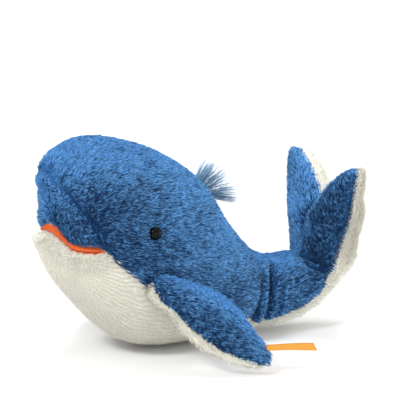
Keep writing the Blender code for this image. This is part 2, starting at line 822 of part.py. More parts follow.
def build():
    clear_scene()
    blue = finish("blue_plush", BLUE, 0.95)
    white = finish("white_plush", WHITE, 0.95)
    orange = finish("mouth_felt", ORANGE, 0.9)
    black = finish("eye_black", BLACK, 0.08)
    nylon = finish("washer_nylon", NYLON, 0.5)
    fibre = finish("filling_fibre", FIBRE, 1.0)
    hair = finish("hair", HAIR, 0.85)
    ribbon = finish("ribbon", RIBBON, 0.7)

    surface, corner, lips = body_surface()
    tree = BVHTree.FromBMesh(surface)
    mark_snout(surface, corner)
    body_core = core_solid(surface)
    half_gap = lip_opening(lips)
    lining = lining_solid(surface, lips, half_gap)

    hinge_left = flipper_hinge(tree)
    body = joint_empty("body", Vector())
    tail = joint_empty("tail", tail_hinge(), body)
    flukes = joint_empty("flukes", fluke_hinge(), tail)

    blue_panels = [
        add_object(name, panel_solid(surface, number, half_gap), blue, body)
        for name, number in (
            ("back_left_panel", BACK_LEFT),
            ("back_right_panel", BACK_RIGHT),
            ("snout_panel", SNOUT),
        )
    ]
    belly_mesh = panel_solid(surface, BELLY, half_gap)
    keep_behind(belly_mesh, Vector(), Vector((0.0, 0.0, -1.0)))
    belly = add_object("belly_panel", belly_mesh, white, body)
    core = add_object("body_stuffing", body_core, fibre, body)
    add_object("mouth_lining", lining, orange, body)

    tail_axis = Vector((0.0, 1.0, 0.0))
    tail_cutter = ball_cutter(
        "tail_socket_cutter",
        body,
        tail_hinge(),
        tail_axis,
        Vector((1.0, 0.0, 0.0)),
        TAIL_DEPTH / 2.0 + SOCKET_CLEARANCE,
        TAIL_WIDTH / 2.0 + SOCKET_CLEARANCE,
    )
    for item in (blue_panels[0], blue_panels[1], belly, core):
        cut(item, tail_cutter)

    # Eyes: a hole through each back panel for the shank, and room for the washer in the filling
    for side, name, panel in ((-1.0, "left", blue_panels[0]), (1.0, "right", blue_panels[1])):
        origin = Vector((EYE_FROM_NOSE, side * BODY_WIDTH, EYE_HEIGHT))
        place, normal = nearest_hit(tree, origin, Vector((0.0, -side, 0.0)))
        add_object(name + "_eye", eye_solid(place, normal), black, body)
        add_object(name + "_eye_washer", washer_solid(place, normal), nylon, body)
        hole = SHANK_DIAMETER / 2.0 + SEAT_CLEARANCE
        cutter = peg_cutter(name + "_eye_hole_cutter", body, place, normal, hole, -SHANK_LENGTH, SHANK_LENGTH)
        cut(panel, cutter)
        room = WASHER_DIAMETER / 2.0 + FILLING_CLEARANCE
        depth = -(SHANK_LENGTH + FILLING_CLEARANCE)
        cutter = peg_cutter(name + "_washer_room_cutter", body, place, normal, room, depth, SHANK_LENGTH)
        cut(core, cutter)

    add_object("hair_tuft", tuft_solid(tree), hair, body)

    # Tail
    top, under, filling = limb_panels(tail_surface())
    along, across, _ = fluke_axes()
    fluke_cutter = ball_cutter(
        "fluke_socket_cutter",
        body,
        fluke_hinge(),
        across,
        along,
        FLUKE_DEPTH / 2.0 + SOCKET_CLEARANCE,
        FLUKE_ROOT_WIDTH / 2.0 + SOCKET_CLEARANCE,
    )
    for name, mesh, material in (
        ("tail_top_panel", top, blue),
        ("tail_belly_panel", under, white),
        ("tail_stuffing", filling, fibre),
    ):
        cut(add_object(name, mesh, material, tail), fluke_cutter)

    # Flukes: the left lobe is cut at the middle of the tail, and the right one is its mirror image
    meshes = limb_panels(fluke_surface())
    middle = Vector((0.0, -SEAM_GAP / 2.0, 0.0))
    for part, mesh, material in zip(("top", "underside", "stuffing"), meshes, (blue, white, fibre)):
        keep_behind(mesh, middle, Vector((0.0, 1.0, 0.0)))
        twin = mirrored(mesh)
        add_object("left_fluke_" + part, mesh, material, flukes)
        add_object("right_fluke_" + part, twin, material, flukes)

    # Flippers, each seated in a dimple of the body's side
    along, across, _ = flipper_axes()
    meshes = limb_panels(flipper_surface(hinge_left))
    empties = {}
    for side, hinge, axis, way in (
        ("left", hinge_left, across, along),
        ("right", mirrored_point(hinge_left), mirrored_point(across), mirrored_point(along)),
    ):
        empties[side] = joint_empty(side + "_flipper", hinge, body)
        cutter = ball_cutter(
            side + "_flipper_socket_cutter",
            body,
            hinge,
            axis,
            way,
            FLIPPER_ROOT_DEPTH / 2.0 + SEAT_CLEARANCE,
            FLIPPER_ROOT_CHORD / 2.0 + SEAT_CLEARANCE,
        )
        for item in (blue_panels[0] if side == "left" else blue_panels[1], belly):
            cut(item, cutter)
    for part, mesh, material in zip(("top", "underside", "stuffing"), meshes, (blue, white, fibre)):
        twin = mirrored(mesh)
        add_object("left_flipper_" + part, mesh, material, empties["left"])
        add_object("right_flipper_" + part, twin, material, empties["right"])

    tag, way = tag_place(hinge_left)
    tag_empty = joint_empty("tag_hinge", tag, empties["left"])
    add_object("ribbon_tag", tag_solid(tag, way), ribbon, tag_empty)
    centre(body)


build()
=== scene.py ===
"""Plush whale: its fabric hides, combed pile, mouth, eyes, hair tuft and ribbon, laid out as an add-on."""

import math
import random

import bmesh
import bpy
import numpy as np
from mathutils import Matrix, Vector
from mathutils.bvhtree import BVHTree
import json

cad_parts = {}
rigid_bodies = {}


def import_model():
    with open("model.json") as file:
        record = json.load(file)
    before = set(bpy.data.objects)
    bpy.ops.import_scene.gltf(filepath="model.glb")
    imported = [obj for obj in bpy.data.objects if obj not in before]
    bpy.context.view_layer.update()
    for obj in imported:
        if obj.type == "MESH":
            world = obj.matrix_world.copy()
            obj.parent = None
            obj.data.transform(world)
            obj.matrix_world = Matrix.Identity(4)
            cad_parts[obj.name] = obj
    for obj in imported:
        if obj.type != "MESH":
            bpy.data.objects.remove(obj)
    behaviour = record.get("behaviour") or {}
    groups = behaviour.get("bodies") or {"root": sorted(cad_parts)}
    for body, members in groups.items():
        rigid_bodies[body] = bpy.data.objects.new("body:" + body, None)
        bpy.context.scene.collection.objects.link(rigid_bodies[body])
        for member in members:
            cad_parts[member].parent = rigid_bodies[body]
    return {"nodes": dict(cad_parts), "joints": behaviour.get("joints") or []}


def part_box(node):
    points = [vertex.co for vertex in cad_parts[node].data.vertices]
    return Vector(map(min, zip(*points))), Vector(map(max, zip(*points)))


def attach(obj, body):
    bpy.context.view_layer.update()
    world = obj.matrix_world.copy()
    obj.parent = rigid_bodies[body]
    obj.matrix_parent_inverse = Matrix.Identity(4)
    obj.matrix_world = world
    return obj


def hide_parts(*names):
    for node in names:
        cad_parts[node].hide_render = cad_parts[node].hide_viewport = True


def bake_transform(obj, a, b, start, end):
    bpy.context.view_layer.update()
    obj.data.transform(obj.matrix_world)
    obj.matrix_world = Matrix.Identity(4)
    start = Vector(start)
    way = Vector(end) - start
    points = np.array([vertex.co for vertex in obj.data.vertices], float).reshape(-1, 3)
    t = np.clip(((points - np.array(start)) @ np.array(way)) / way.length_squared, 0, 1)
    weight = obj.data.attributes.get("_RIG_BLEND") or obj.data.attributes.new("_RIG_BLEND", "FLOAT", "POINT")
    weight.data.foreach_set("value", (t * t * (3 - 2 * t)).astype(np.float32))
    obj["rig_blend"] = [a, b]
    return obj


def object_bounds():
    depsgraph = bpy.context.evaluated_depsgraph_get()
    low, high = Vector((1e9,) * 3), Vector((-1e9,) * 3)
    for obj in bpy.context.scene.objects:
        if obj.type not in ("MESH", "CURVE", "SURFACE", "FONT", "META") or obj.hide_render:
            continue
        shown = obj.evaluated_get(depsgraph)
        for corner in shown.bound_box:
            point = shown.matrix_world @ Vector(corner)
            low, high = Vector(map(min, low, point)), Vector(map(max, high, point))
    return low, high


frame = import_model()
CAD_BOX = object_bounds()

bl_info = {
    "name": "Plush Whale",
    "version": (1, 0, 0),
    "blender": (4, 5, 0),
    "location": "View3D > Sidebar > Plush Whale",
    "description": "Sews, fills and combs a plush baby whale round its packed frame",
    "category": "Add Mesh",
}

JOINTS = {joint["name"]: joint for joint in frame["joints"]}
TAIL_HINGE = Vector(JOINTS["tail_bend"]["pos_m"])
FLUKE_HINGE = Vector(JOINTS["fluke_flex"]["pos_m"])
FLIPPER_HINGES = {
    "left": Vector(JOINTS["left_flipper_lift"]["pos_m"]),
    "right": Vector(JOINTS["right_flipper_lift"]["pos_m"]),
}
MIDDLE = TAIL_HINGE.y
NOSE = Vector((CAD_BOX[0][0], MIDDLE, 0.112))

BODY_BLUE = ("back_left_panel", "back_right_panel", "snout_panel")
TAIL_NODES = ("tail_top_panel", "tail_belly_panel", "tail_stuffing")
FLUKE_NODES = tuple(
    side + "_fluke_" + part for side in ("left", "right") for part in ("top", "underside", "stuffing")
)
BLUE_NODES = BODY_BLUE + ("tail_top_panel", "left_fluke_top", "right_fluke_top")
WHITE_NODES = ("belly_panel", "tail_belly_panel", "left_fluke_underside", "right_fluke_underside")

BELLY_RADIUS = 0.056
BAKE_MAP = "OFBake"

# How the filled skin is shaped, in metres
MOUTH_SAG = 0.0064
MOUTH_DROP = 0.0014
SEAM_DEPTH = 0.0034
SEAM_WIDTH = 0.0014
LIP_DEPTH = 0.0048
UPPER_LIP_DEPTH = 0.0036
LOWER_LIP_OUT = 0.0012
LOWER_LIP_UP = 0.0014
EYE_DENT = 0.0018
CROWN_FILL = 0.0026
BELLY_FILL = 0.0016
BROW_FILL = 0.0036
SNOUT_FILL = 0.0030
NOSE_PRESS = 0.0022
NOSE_DIP = 0.0034
NECK_DIP = 0.0040
ROOT_RISE = 0.0046
RIM_FILL = 0.0048
LOW_RIM_FILL = 0.0036
LOBE_PRESS = 0.0026
LOBE_RISE = 0.0022
LIP_GAP = 0.0026
VELOUR_REACH = 0.0022
EYE_SEAT = 0.0021
STRAND_ROOT = 0.0125
TAIL_STEP = 0.014
FLUKE_RISE = Vector((0.60, 0.0, 0.80))
FLUKE_FOOT = FLUKE_HINGE - FLUKE_RISE * 0.017
HIDE_MARKS = ("fabric", "comb", "pile", "crease", "ribs", "girth", "snout", "lining", "eyes", "nap")


# Small helpers


def node_mesh(names):
    """A bmesh of these nodes of the frame, with the points of their loose triangles merged."""
    mesh = bmesh.new()
    for name in names:
        mesh.from_mesh(frame["nodes"][name].data)
    bmesh.ops.remove_doubles(mesh, verts=mesh.verts, dist=0.00002)
    return mesh


def node_tree(names):
    """A tree that finds the nearest point on these nodes."""
    mesh = node_mesh(names)
    tree = BVHTree.FromBMesh(mesh)
    mesh.free()
    return tree


def new_piece(name, mesh, material=None):
    """An object at the origin from a bmesh, with smooth faces."""
    data = bpy.data.meshes.new(name)
    mesh.to_mesh(data)
    mesh.free()
    data.shade_smooth()
    item = bpy.data.objects.new(name, data)
    bpy.context.scene.collection.objects.link(item)
    if material:
        data.materials.append(material)
    return item


def settle(item):
    """Apply the modifiers of a piece to its mesh."""
    graph = bpy.context.evaluated_depsgraph_get()
    mesh = bpy.data.meshes.new_from_object(item.evaluated_get(graph))
    item.modifiers.clear()
    old = item.data
    item.data = mesh
    bpy.data.meshes.remove(old)
    mesh.name = item.name


def points_of(item):
    """Places of a piece's points."""
    data = item.data
    points = np.empty(len(data.vertices) * 3, np.float32)
    data.vertices.foreach_get("co", points)
    return points.reshape(-1, 3).astype(float)


def normals_of(item):
    """Normals at a piece's points."""
    data = item.data
    normals = np.empty(len(data.vertices) * 3, np.float32)
    data.vertex_normals.foreach_get("vector", normals)
    return normals.reshape(-1, 3).astype(float)


def mesh_of(item):
    """A bmesh of a piece."""
    mesh = bmesh.new()
    mesh.from_mesh(item.data)
    return mesh


def put_points(item, points):
    """Move a piece's points to these places."""
    item.data.vertices.foreach_set("co", points.astype(np.float32).ravel())
    item.data.update()


def put_attribute(item, name, values):
    """Store a number or a vector for each point of a piece."""
    kind = "FLOAT" if values.ndim == 1 else "FLOAT_VECTOR"
    attribute = item.data.attributes.get(name) or item.data.attributes.new(name, kind, "POINT")
    attribute.data.foreach_set("value" if values.ndim == 1 else "vector", values.astype(np.float32).ravel())


def read_attribute(item, name):
    """A number that is stored for each point."""
    values = np.empty(len(item.data.vertices), np.float32)
    item.data.attributes[name].data.foreach_get("value", values)
    return values.astype(float)


def drop_attributes(item, names):
    """Remove stored values that nothing reads any more."""
    for name in names:
        attribute = item.data.attributes.get(name)
        if attribute:
            item.data.attributes.remove(attribute)


def keep_largest(item):
    """Drop the small shells that a remesh leaves between a panel and its filling."""
    mesh = mesh_of(item)
    seen = set()
    shells = []
    for start in mesh.verts:
        if start in seen:
            continue
        shell = [start]
        seen.add(start)
        for vert in shell:
            for edge in vert.link_edges:
                other = edge.other_vert(vert)
                if other not in seen:
                    seen.add(other)
                    shell.append(other)
        shells.append(shell)
    shells.sort(key=len, reverse=True)
    loose = [vert for shell in shells[1:] for vert in shell]
    bmesh.ops.delete(mesh, geom=loose, context="VERTS")
    mesh.to_mesh(item.data)
    mesh.free()


def smoothstep(values, low, high):
    """0 under low, 1 over high, and smooth between them."""
    share = np.clip((values - low) / (high - low), 0.0, 1.0)
    return share * share * (3.0 - 2.0 * share)


def bump(values, width):
    """1 at zero, falling smoothly to nothing about two widths away."""
    return np.exp(-((values / width) ** 2))


def tangent(vectors, normals):
    """The part of each vector that lies in the surface, one unit long."""
    flat = vectors - normals * np.sum(vectors * normals, axis=1, keepdims=True)
    length = np.linalg.norm(flat, axis=1, keepdims=True)
    return flat / np.maximum(length, 1e-6)


# Hides


def remeshed(names, name, voxel):
    """One closed skin round these nodes."""
    item = new_piece(name, node_mesh(names))
    remesh = item.modifiers.new("Close", "REMESH")
    remesh.mode = "VOXEL"
    remesh.voxel_size = voxel
    remesh.use_smooth_shade = True
    settle(item)
    keep_largest(item)
    return item


def draw_in(item, depth, rounds):
    """Smooth a skin and draw it in by the room that the pile takes."""
    smooth = item.modifiers.new("Smooth", "SMOOTH")
    smooth.factor = 0.5
    smooth.iterations = rounds
    shrink = item.modifiers.new("Draw in", "DISPLACE")
    shrink.mid_level = 0.0
    shrink.strength = -depth
    settle(item)


def puff(item, pressure, cap, frames=20):
    """Swell a skin as its filling does: cloth under pressure, no point moving further than the cap."""
    before = points_of(item)
    cloth = item.modifiers.new("Fill", "CLOTH")
    settings = cloth.settings
    settings.quality = 5
    settings.mass = 0.3
    settings.tension_stiffness = 20.0
    settings.compression_stiffness = 20.0
    settings.shear_stiffness = 10.0
    settings.bending_stiffness = 1.5
    settings.use_pressure = True
    settings.uniform_pressure_force = pressure
    settings.effector_weights.gravity = 0.0
    cloth.collision_settings.use_collision = False
    cloth.point_cache.frame_start = 1
    cloth.point_cache.frame_end = frames
    scene = bpy.context.scene
    for number in range(1, frames + 1):
        scene.frame_set(number)
    graph = bpy.context.evaluated_depsgraph_get()
    swollen = item.evaluated_get(graph).to_mesh()
    after = np.empty(len(swollen.vertices) * 3, np.float32)
    swollen.vertices.foreach_get("co", after)
    item.evaluated_get(graph).to_mesh_clear()
    item.modifiers.clear()
    scene.frame_set(1)
    moved = after.reshape(-1, 3).astype(float) - before
    length = np.linalg.norm(moved, axis=1, keepdims=True)
    put_points(item, before + moved * np.minimum(1.0, cap / np.maximum(length, 1e-9)))


def subdivided(item, levels=1):
    """Give a piece finer faces."""
    finer = item.modifiers.new("Finer", "SUBSURF")
    finer.levels = levels
    finer.render_levels = levels
    settle(item)


def tree_distance(points, tree):
    """Distance from each point to the nearest point of a tree."""
    return np.array([tree.find_nearest(Vector(point))[3] for point in points])


def seam_distance(points, here, there):
    """Over zero on the first fabric's side of a seam, under zero on the other's."""
    return tree_distance(points, node_tree(there)) - tree_distance(points, node_tree(here))


def mouth_sag(points):
    """How far the filled lower lip lets the mouth hang between its middle and its corners."""
    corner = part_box("mouth_lining")[1].x
    turn = np.arctan2(0.6 * np.abs(points[:, 1] - MIDDLE), np.maximum(corner - points[:, 0], 1e-6))
    return MOUTH_SAG * np.sin(2.0 * turn) * smoothstep(turn, 0.05, 0.90)


def slot_distance(points):
    """Height over or under the mouth's lining, which ends in a point at each corner."""
    mesh = node_mesh(("mouth_lining",))
    lining = np.array([vert.co for vert in mesh.verts])
    mesh.free()
    slope, level = np.polyfit(lining[:, 0], lining[:, 2], 1)
    corner = lining[:, 0].max()
    height = np.abs(points[:, 2] + mouth_sag(points) + MOUTH_DROP - level - slope * points[:, 0])
    ends = 0.0075 * smoothstep(points[:, 0], corner - 0.002, corner + 0.013)
    return height - LIP_GAP + ends + np.maximum(0.0, points[:, 0] - corner - 0.005)


def skin_depth(points, skin):
    """How far outside another piece's skin each point lies, under zero inside it."""
    values = []
    for point in points:
        place = Vector(point)
        nearest, normal, _, distance = skin.find_nearest(place)
        values.append(distance if (place - nearest).dot(normal) > 0.0 else -distance)
    return np.array(values)


def skin_tree(item):
    """A tree that finds the nearest point on a piece."""
    mesh = mesh_of(item)
    tree = BVHTree.FromBMesh(mesh)
    mesh.free()
    return tree


def body_comb(points, normals):
    """Pile runs back from the nose over the body, along the tail and up the flukes."""
    from_nose = points - np.array(NOSE)
    away = from_nose / np.linalg.norm(from_nose, axis=1, keepdims=True)
    run = np.zeros_like(points)
    run[:, 0] = 1.0
    body_way = away * 0.7 + run * 0.6
    body_way[:, 2] -= 0.10
    tail_way = np.array((FLUKE_HINGE - TAIL_HINGE).normalized()) + np.zeros_like(points)
    root = np.array(FLUKE_HINGE)
    lobe_way = np.zeros_like(points)
    lobe_way[:, 2] = 1.0
    lobe_way[:, 1] = np.sign(points[:, 1] - MIDDLE) * 0.55
    tail_share = smoothstep(points[:, 0], TAIL_HINGE.x - 0.02, TAIL_HINGE.x + 0.02)[:, None]
    lobe_share = smoothstep(points[:, 2] - root[2] + 0.5 * (points[:, 0] - root[0]), -0.012, 0.016)
    lobe_share = (lobe_share * smoothstep(points[:, 0], TAIL_HINGE.x + 0.01, TAIL_HINGE.x + 0.03))[:, None]
    way = body_way * (1.0 - tail_share) + tail_way * tail_share
    way = way * (1.0 - lobe_share) + lobe_way * lobe_share
    return tangent(way, normals)


def belly_girth(points):
    """How far a point lies round the belly from its middle line, measured along the ribbed fabric."""
    height = NOSE.z + 0.002 + 0.05 * (points[:, 0] - NOSE.x)
    out = points[:, 1] - MIDDLE
    down = height - points[:, 2]
    return np.arctan2(out, down) * BELLY_RADIUS


def mark_body(item):
    """Store how far the seams, the mouth and the eyes lie from each point of the body's skin."""
    points = points_of(item)
    lowered = points.copy()
    lowered[:, 2] += mouth_sag(points)
    fabric = seam_distance(lowered, BLUE_NODES, WHITE_NODES)
    fabric += 0.0050 * bump(points[:, 0] - TAIL_HINGE.x, 0.016)
    under = 1.0 - smoothstep(points[:, 2], 0.040, 0.055)
    fabric -= 0.0035 * bump(points[:, 0] - FLUKE_HINGE.x + 0.004, 0.012) * under
    fabric += 0.0032 * bump(points[:, 2] - 0.085, 0.030) * smoothstep(points[:, 0], 0.095, 0.110)
    far = smoothstep(points[:, 1] - MIDDLE, 0.0, 0.012) * smoothstep(points[:, 2], 0.095, 0.125)
    fabric += 0.0032 * far * smoothstep(points[:, 0], 0.090, 0.105)
    put_attribute(item, "fabric", fabric)
    beside = points.copy()
    beside[:, 0] += 0.0040 * bump(points[:, 2] - 0.135, 0.020)
    put_attribute(
        item,
        "snout",
        seam_distance(beside, ("back_left_panel", "back_right_panel"), ("snout_panel",)),
    )
    put_attribute(item, "lining", slot_distance(points))
    put_attribute(item, "eyes", tree_distance(points, node_tree(("left_eye", "right_eye"))))


def snout_groove(item, width):
    """1 along the seam between the snout and the back, less where the seam runs out over the brow."""
    points = points_of(item)
    front = smoothstep(-points[:, 0], 0.080, 0.098)
    blue = smoothstep(read_attribute(item, "fabric"), -0.002, 0.001)
    brow = 1.0 - 0.75 * smoothstep(points[:, 2], 0.132, 0.150)
    return bump(read_attribute(item, "snout"), width) * front * blue * brow


def gather(points, foot, lean, width, low, high):
    """A fold up the side of the tail's root: 1 in its valley, nothing a few widths away."""
    line = points[:, 0] - foot - lean * (points[:, 2] - low)
    start = smoothstep(points[:, 2], low - 0.008, low + 0.004)
    end = 1.0 - smoothstep(points[:, 2], high - 0.012, high + 0.003)
    side = smoothstep(np.abs(points[:, 1] - MIDDLE), 0.007, 0.016)
    return bump(line, width) * start * end * side


def fluke_crease(points, offset, width, back, front):
    """A fold across the root of the flukes, on either side of it."""
    x = points[:, 0] - FLUKE_HINGE.x + 0.024
    z = points[:, 2] - FLUKE_HINGE.z - 0.003
    line = 0.448 * x + 0.893 * z + offset
    reach = smoothstep(x, back, back + 0.008) * (1.0 - smoothstep(x, front - 0.008, front))
    side = smoothstep(np.abs(points[:, 1] - MIDDLE), 0.004, 0.012)
    return bump(line, width) * reach * side


def lobe_valley(points, normals, width):
    """The valley between the two lobes, on the side that faces the head."""
    rise = smoothstep(points[:, 2], FLUKE_HINGE.z + 0.014, FLUKE_HINGE.z + 0.028)
    faces_head = smoothstep(-normals[:, 0], 0.0, 0.4)
    back = smoothstep(points[:, 0], TAIL_HINGE.x + 0.015, TAIL_HINGE.x + 0.025)
    return bump(points[:, 1] - MIDDLE, width) * rise * faces_head * back


def folds_of(points, normals, spread=1.0):
    """Each gather and crease of the tail as a mask and its depth."""
    root = TAIL_HINGE.x
    return (
        (gather(points, root - 0.0038, 0.22, 0.0022 * spread, 0.012, 0.062), 0.0074),
        (gather(points, root - 0.0160, 0.22, 0.0022 * spread, 0.013, 0.052), 0.0070),
        (gather(points, root - 0.0220, 0.22, 0.0026 * spread, 0.016, 0.036), 0.0016),
        (gather(points, root + 0.0085, 0.10, 0.0026 * spread, 0.020, 0.046), 0.0012),
        (fluke_crease(points, 0.0, 0.0020 * spread, -0.014, 0.016), 0.0042),
        (fluke_crease(points, 0.0062, 0.0022 * spread, -0.006, 0.018), 0.0022),
        (lobe_valley(points, normals, 0.0026 * spread), 0.0036),
    )


def refine(item, near):
    """Split the edges where the skin is pressed sharply."""
    mesh = mesh_of(item)
    mesh.verts.ensure_lookup_table()
    edges = [edge for edge in mesh.edges if near[edge.verts[0].index] and near[edge.verts[1].index]]
    bmesh.ops.subdivide_edges(mesh, edges=edges, cuts=1, use_grid_fill=True)
    bmesh.ops.triangulate(mesh, faces=[face for face in mesh.faces if len(face.verts) > 4])
    mesh.to_mesh(item.data)
    mesh.free()


def press_body(item):
    """Press the seams, the mouth, the eyes and the folds into the skin, and puff the lips and the belly."""
    points = points_of(item)
    normals = normals_of(item)
    fabric = read_attribute(item, "fabric")
    lining = read_attribute(item, "lining")
    head = smoothstep(-points[:, 0], 0.095, 0.112)
    blue = smoothstep(fabric, -0.001, 0.002)
    limb = smoothstep(points[:, 0], TAIL_HINGE.x - 0.02, TAIL_HINGE.x)
    depth = SEAM_DEPTH * snout_groove(item, SEAM_WIDTH)
    # The crease mask marks the snout's seam and the tail's folds: the pile is cut short there and painted shade
    # is laid on it.
    crease = 0.95 * snout_groove(item, 0.0012)
    for mask, amount in folds_of(points, normals):
        depth += mask * amount
        crease += mask * min(1.0, amount / 0.003)
    depth += LIP_DEPTH * bump(lining, LIP_GAP) * head
    fore = smoothstep(-points[:, 0], 0.112, 0.136)
    depth += UPPER_LIP_DEPTH * bump(lining - 0.001, 0.0085) * head * blue * fore
    depth -= 0.0008 * bump(lining - 0.0065, 0.0045) * head * (1.0 - blue)
    depth += EYE_DENT * bump(read_attribute(item, "eyes"), 0.0045)
    over = smoothstep(normals[:, 2], 0.1, 0.5) * bump(points[:, 1] - MIDDLE, 0.040)
    depth += NECK_DIP * over * bump(points[:, 0] - TAIL_HINGE.x + 0.036, 0.014)
    crown = smoothstep(normals[:, 2], 0.05, 0.55) * (1.0 - smoothstep(points[:, 0], -0.020, 0.012))
    depth -= CROWN_FILL * crown * blue
    off_lips = 1.0 - bump(lining, 0.004) * head
    depth -= BELLY_FILL * (1.0 - smoothstep(fabric, -0.004, 0.0)) * (1.0 - limb) * off_lips
    put_attribute(item, "crease", np.clip(crease, 0.0, 1.0))
    points = points - normals * depth[:, None]
    points[:, 2] += ROOT_RISE * over * bump(points[:, 0] - TAIL_HINGE.x + 0.006, 0.0115)
    front = smoothstep(-points[:, 0], 0.100, 0.130)
    below = smoothstep(-read_attribute(item, "snout"), -0.0015, 0.0015)
    brow = smoothstep(points[:, 2], 0.137, 0.151) * (1.0 - smoothstep(points[:, 2], 0.163, 0.176))
    points[:, 0] += NOSE_PRESS * smoothstep(-points[:, 0], 0.116, 0.140)
    points[:, 0] -= (BROW_FILL + SNOUT_FILL * below) * brow * front
    points[:, 0] += NOSE_DIP * bump(points[:, 2] - 0.122, 0.010) * front
    white = 1.0 - smoothstep(fabric, -0.003, 0.001)
    lobes = smoothstep(points[:, 0], 0.085, 0.110) * smoothstep(points[:, 2], 0.030, 0.052)
    near = smoothstep(MIDDLE - points[:, 1], -0.005, 0.010) * smoothstep(points[:, 2], 0.098, 0.118)
    points[:, 0] += RIM_FILL * white * lobes * (1.0 - near)
    low_lobes = bump(points[:, 2] - 0.058, 0.026) * smoothstep(points[:, 0], 0.090, 0.110)
    points[:, 0] += LOW_RIM_FILL * white * low_lobes
    points[:, 0] -= LOBE_PRESS * (1.0 - white) * lobes * smoothstep(points[:, 2], 0.055, 0.075)
    points[:, 2] += LOBE_RISE * lobes * smoothstep(points[:, 2], 0.105, 0.145)
    lip = white * bump(lining - 0.009, 0.004) * smoothstep(-points[:, 0], 0.122, 0.138)
    points[:, 0] -= LOWER_LIP_OUT * lip
    points[:, 2] += LOWER_LIP_UP * lip
    put_points(item, points)


# Painted shade, over zero, and painted light, under zero, laid in spots on the pile, where the tufts also stand
# up or lie flatter:
# a place, its reach, the amount, and how much of it the other side has.
PAINTED_SHADE_AND_LIGHT_SPOTS = (
    ((-0.105, -0.062, 0.112), 0.026, 0.95, 1.0),
    ((-0.080, -0.068, 0.085), 0.024, 0.75, 1.0),
    ((-0.081, -0.064, 0.125), 0.022, 0.45, 1.0),
    ((-0.112, -0.040, 0.140), 0.018, 0.50, 1.0),
    ((-0.140, -0.015, 0.145), 0.020, -1.70, 1.0),
    ((-0.137, -0.040, 0.130), 0.016, -0.60, 1.0),
    ((-0.020, -0.055, 0.130), 0.030, -0.45, 1.0),
    ((0.012, -0.045, 0.092), 0.030, -1.10, 1.0),
    ((0.000, -0.060, 0.050), 0.012, 0.90, 1.0),
    ((0.074, -0.012, 0.073), 0.016, -0.80, 1.0),
    ((0.102, -0.028, 0.088), 0.024, 0.80, 0.0),
    ((0.098, -0.020, 0.058), 0.020, 0.90, 0.0),
    ((0.116, -0.046, 0.118), 0.022, 0.55, 0.0),
    ((0.112, -0.048, 0.142), 0.012, -0.90, 0.0),
    ((0.100, 0.028, 0.118), 0.030, -0.90, 0.0),
    ((0.104, 0.026, 0.088), 0.020, -0.90, 0.0),
    ((0.039, -0.017, 0.097), 0.028, -1.00, 1.0),
    ((0.113, -0.018, 0.043), 0.014, 0.80, 0.0),
    ((0.011, -0.043, 0.045), 0.014, 0.70, 1.0),
)


def lie_and_painted_shade_of(points, normals):
    """How far the pile stands up and is painted darker, over zero, or lies flat and is painted lighter, under
    zero: lighter where the skin faces up, as if lit from above, and in the listed spots.
    """
    nap = 0.25 - 1.55 * smoothstep(normals[:, 2], 0.30, 0.90)
    for place, reach, amount, other in PAINTED_SHADE_AND_LIGHT_SPOTS:
        left = np.linalg.norm(points - np.array(place), axis=1)
        mirrored = np.array((place[0], 2.0 * MIDDLE - place[1], place[2]))
        right = np.linalg.norm(points - mirrored, axis=1)
        nap += amount * (bump(left, reach) + other * bump(right, reach))
    return nap


def dress(item, comb, pile, crease, painted_shade_and_lie=0.0):
    """Store what the pile reads: the way it is combed, its length, its lie with the painted shade and light that
    go with it, and where it is in a fold, where painted shade is laid too.
    """
    put_attribute(item, "nap", lie_and_painted_shade_of(points_of(item), normals_of(item)) + painted_shade_and_lie)
    put_attribute(item, "comb", comb)
    put_attribute(item, "pile", pile)
    put_attribute(item, "crease", crease)


def nest(item, other, shade=0.0038):
    """Take the pile off where a piece goes into another's skin, and shorten it and lay painted shade on it along
    the join.
    """
    depth = skin_depth(points_of(item), skin_tree(other))
    pile = read_attribute(item, "pile") * (0.3 + 0.7 * smoothstep(depth, 0.0005, 0.0055))
    put_attribute(item, "pile", np.where(depth < 0.0006, 0.0, pile))
    crease = read_attribute(item, "crease") + (1.0 - smoothstep(depth, 0.0, shade))
    put_attribute(item, "crease", np.clip(crease, 0.0, 1.0))


def part_of(item, name, cuts):
    """The part of a skin on the kept side of each plane: place and the way that is cleared."""
    mesh = mesh_of(item)
    for place, way in cuts:
        everything = mesh.verts[:] + mesh.edges[:] + mesh.faces[:]
        bmesh.ops.bisect_plane(mesh, geom=everything, plane_co=place, plane_no=way, clear_outer=True)
    return new_piece(name, mesh)


# Pile


def tuft_mesh(name, width, levels):
    """One tuft of pile, one unit long: a three-sided blade that rises, bends over and ends in a point."""
    mesh = bmesh.new()
    along = mesh.verts.layers.float.new("along")
    ring = bmesh.ops.create_circle(mesh, segments=3, radius=width)["verts"]
    bmesh.ops.scale(mesh, vec=(0.16, 1.0, 1.0), verts=ring)
    edges = mesh.edges[:]
    x = 0.0
    z = 0.0
    for share, next_x, next_z, size in levels:
        result = bmesh.ops.extrude_edge_only(mesh, edges=edges)
        ring = [item for item in result["geom"] if isinstance(item, bmesh.types.BMVert)]
        found = set(ring)
        edges = [edge for edge in mesh.edges if edge.verts[0] in found and edge.verts[1] in found]
        bmesh.ops.translate(mesh, vec=(next_x - x, 0.0, next_z - z), verts=ring)
        middle = Vector((next_x, 0.0, next_z))
        for vert in ring:
            vert[along] = share
            vert.co = middle + (vert.co - middle) * size
        x = next_x
        z = next_z
    bmesh.ops.pointmerge(mesh, verts=ring, merge_co=Vector((x, 0.0, z)))
    bmesh.ops.recalc_face_normals(mesh, faces=mesh.faces)
    return new_piece(name, mesh)


def socket(sockets, name):
    """The enabled socket of this name."""
    return next(item for item in sockets if item.name == name and item.enabled)


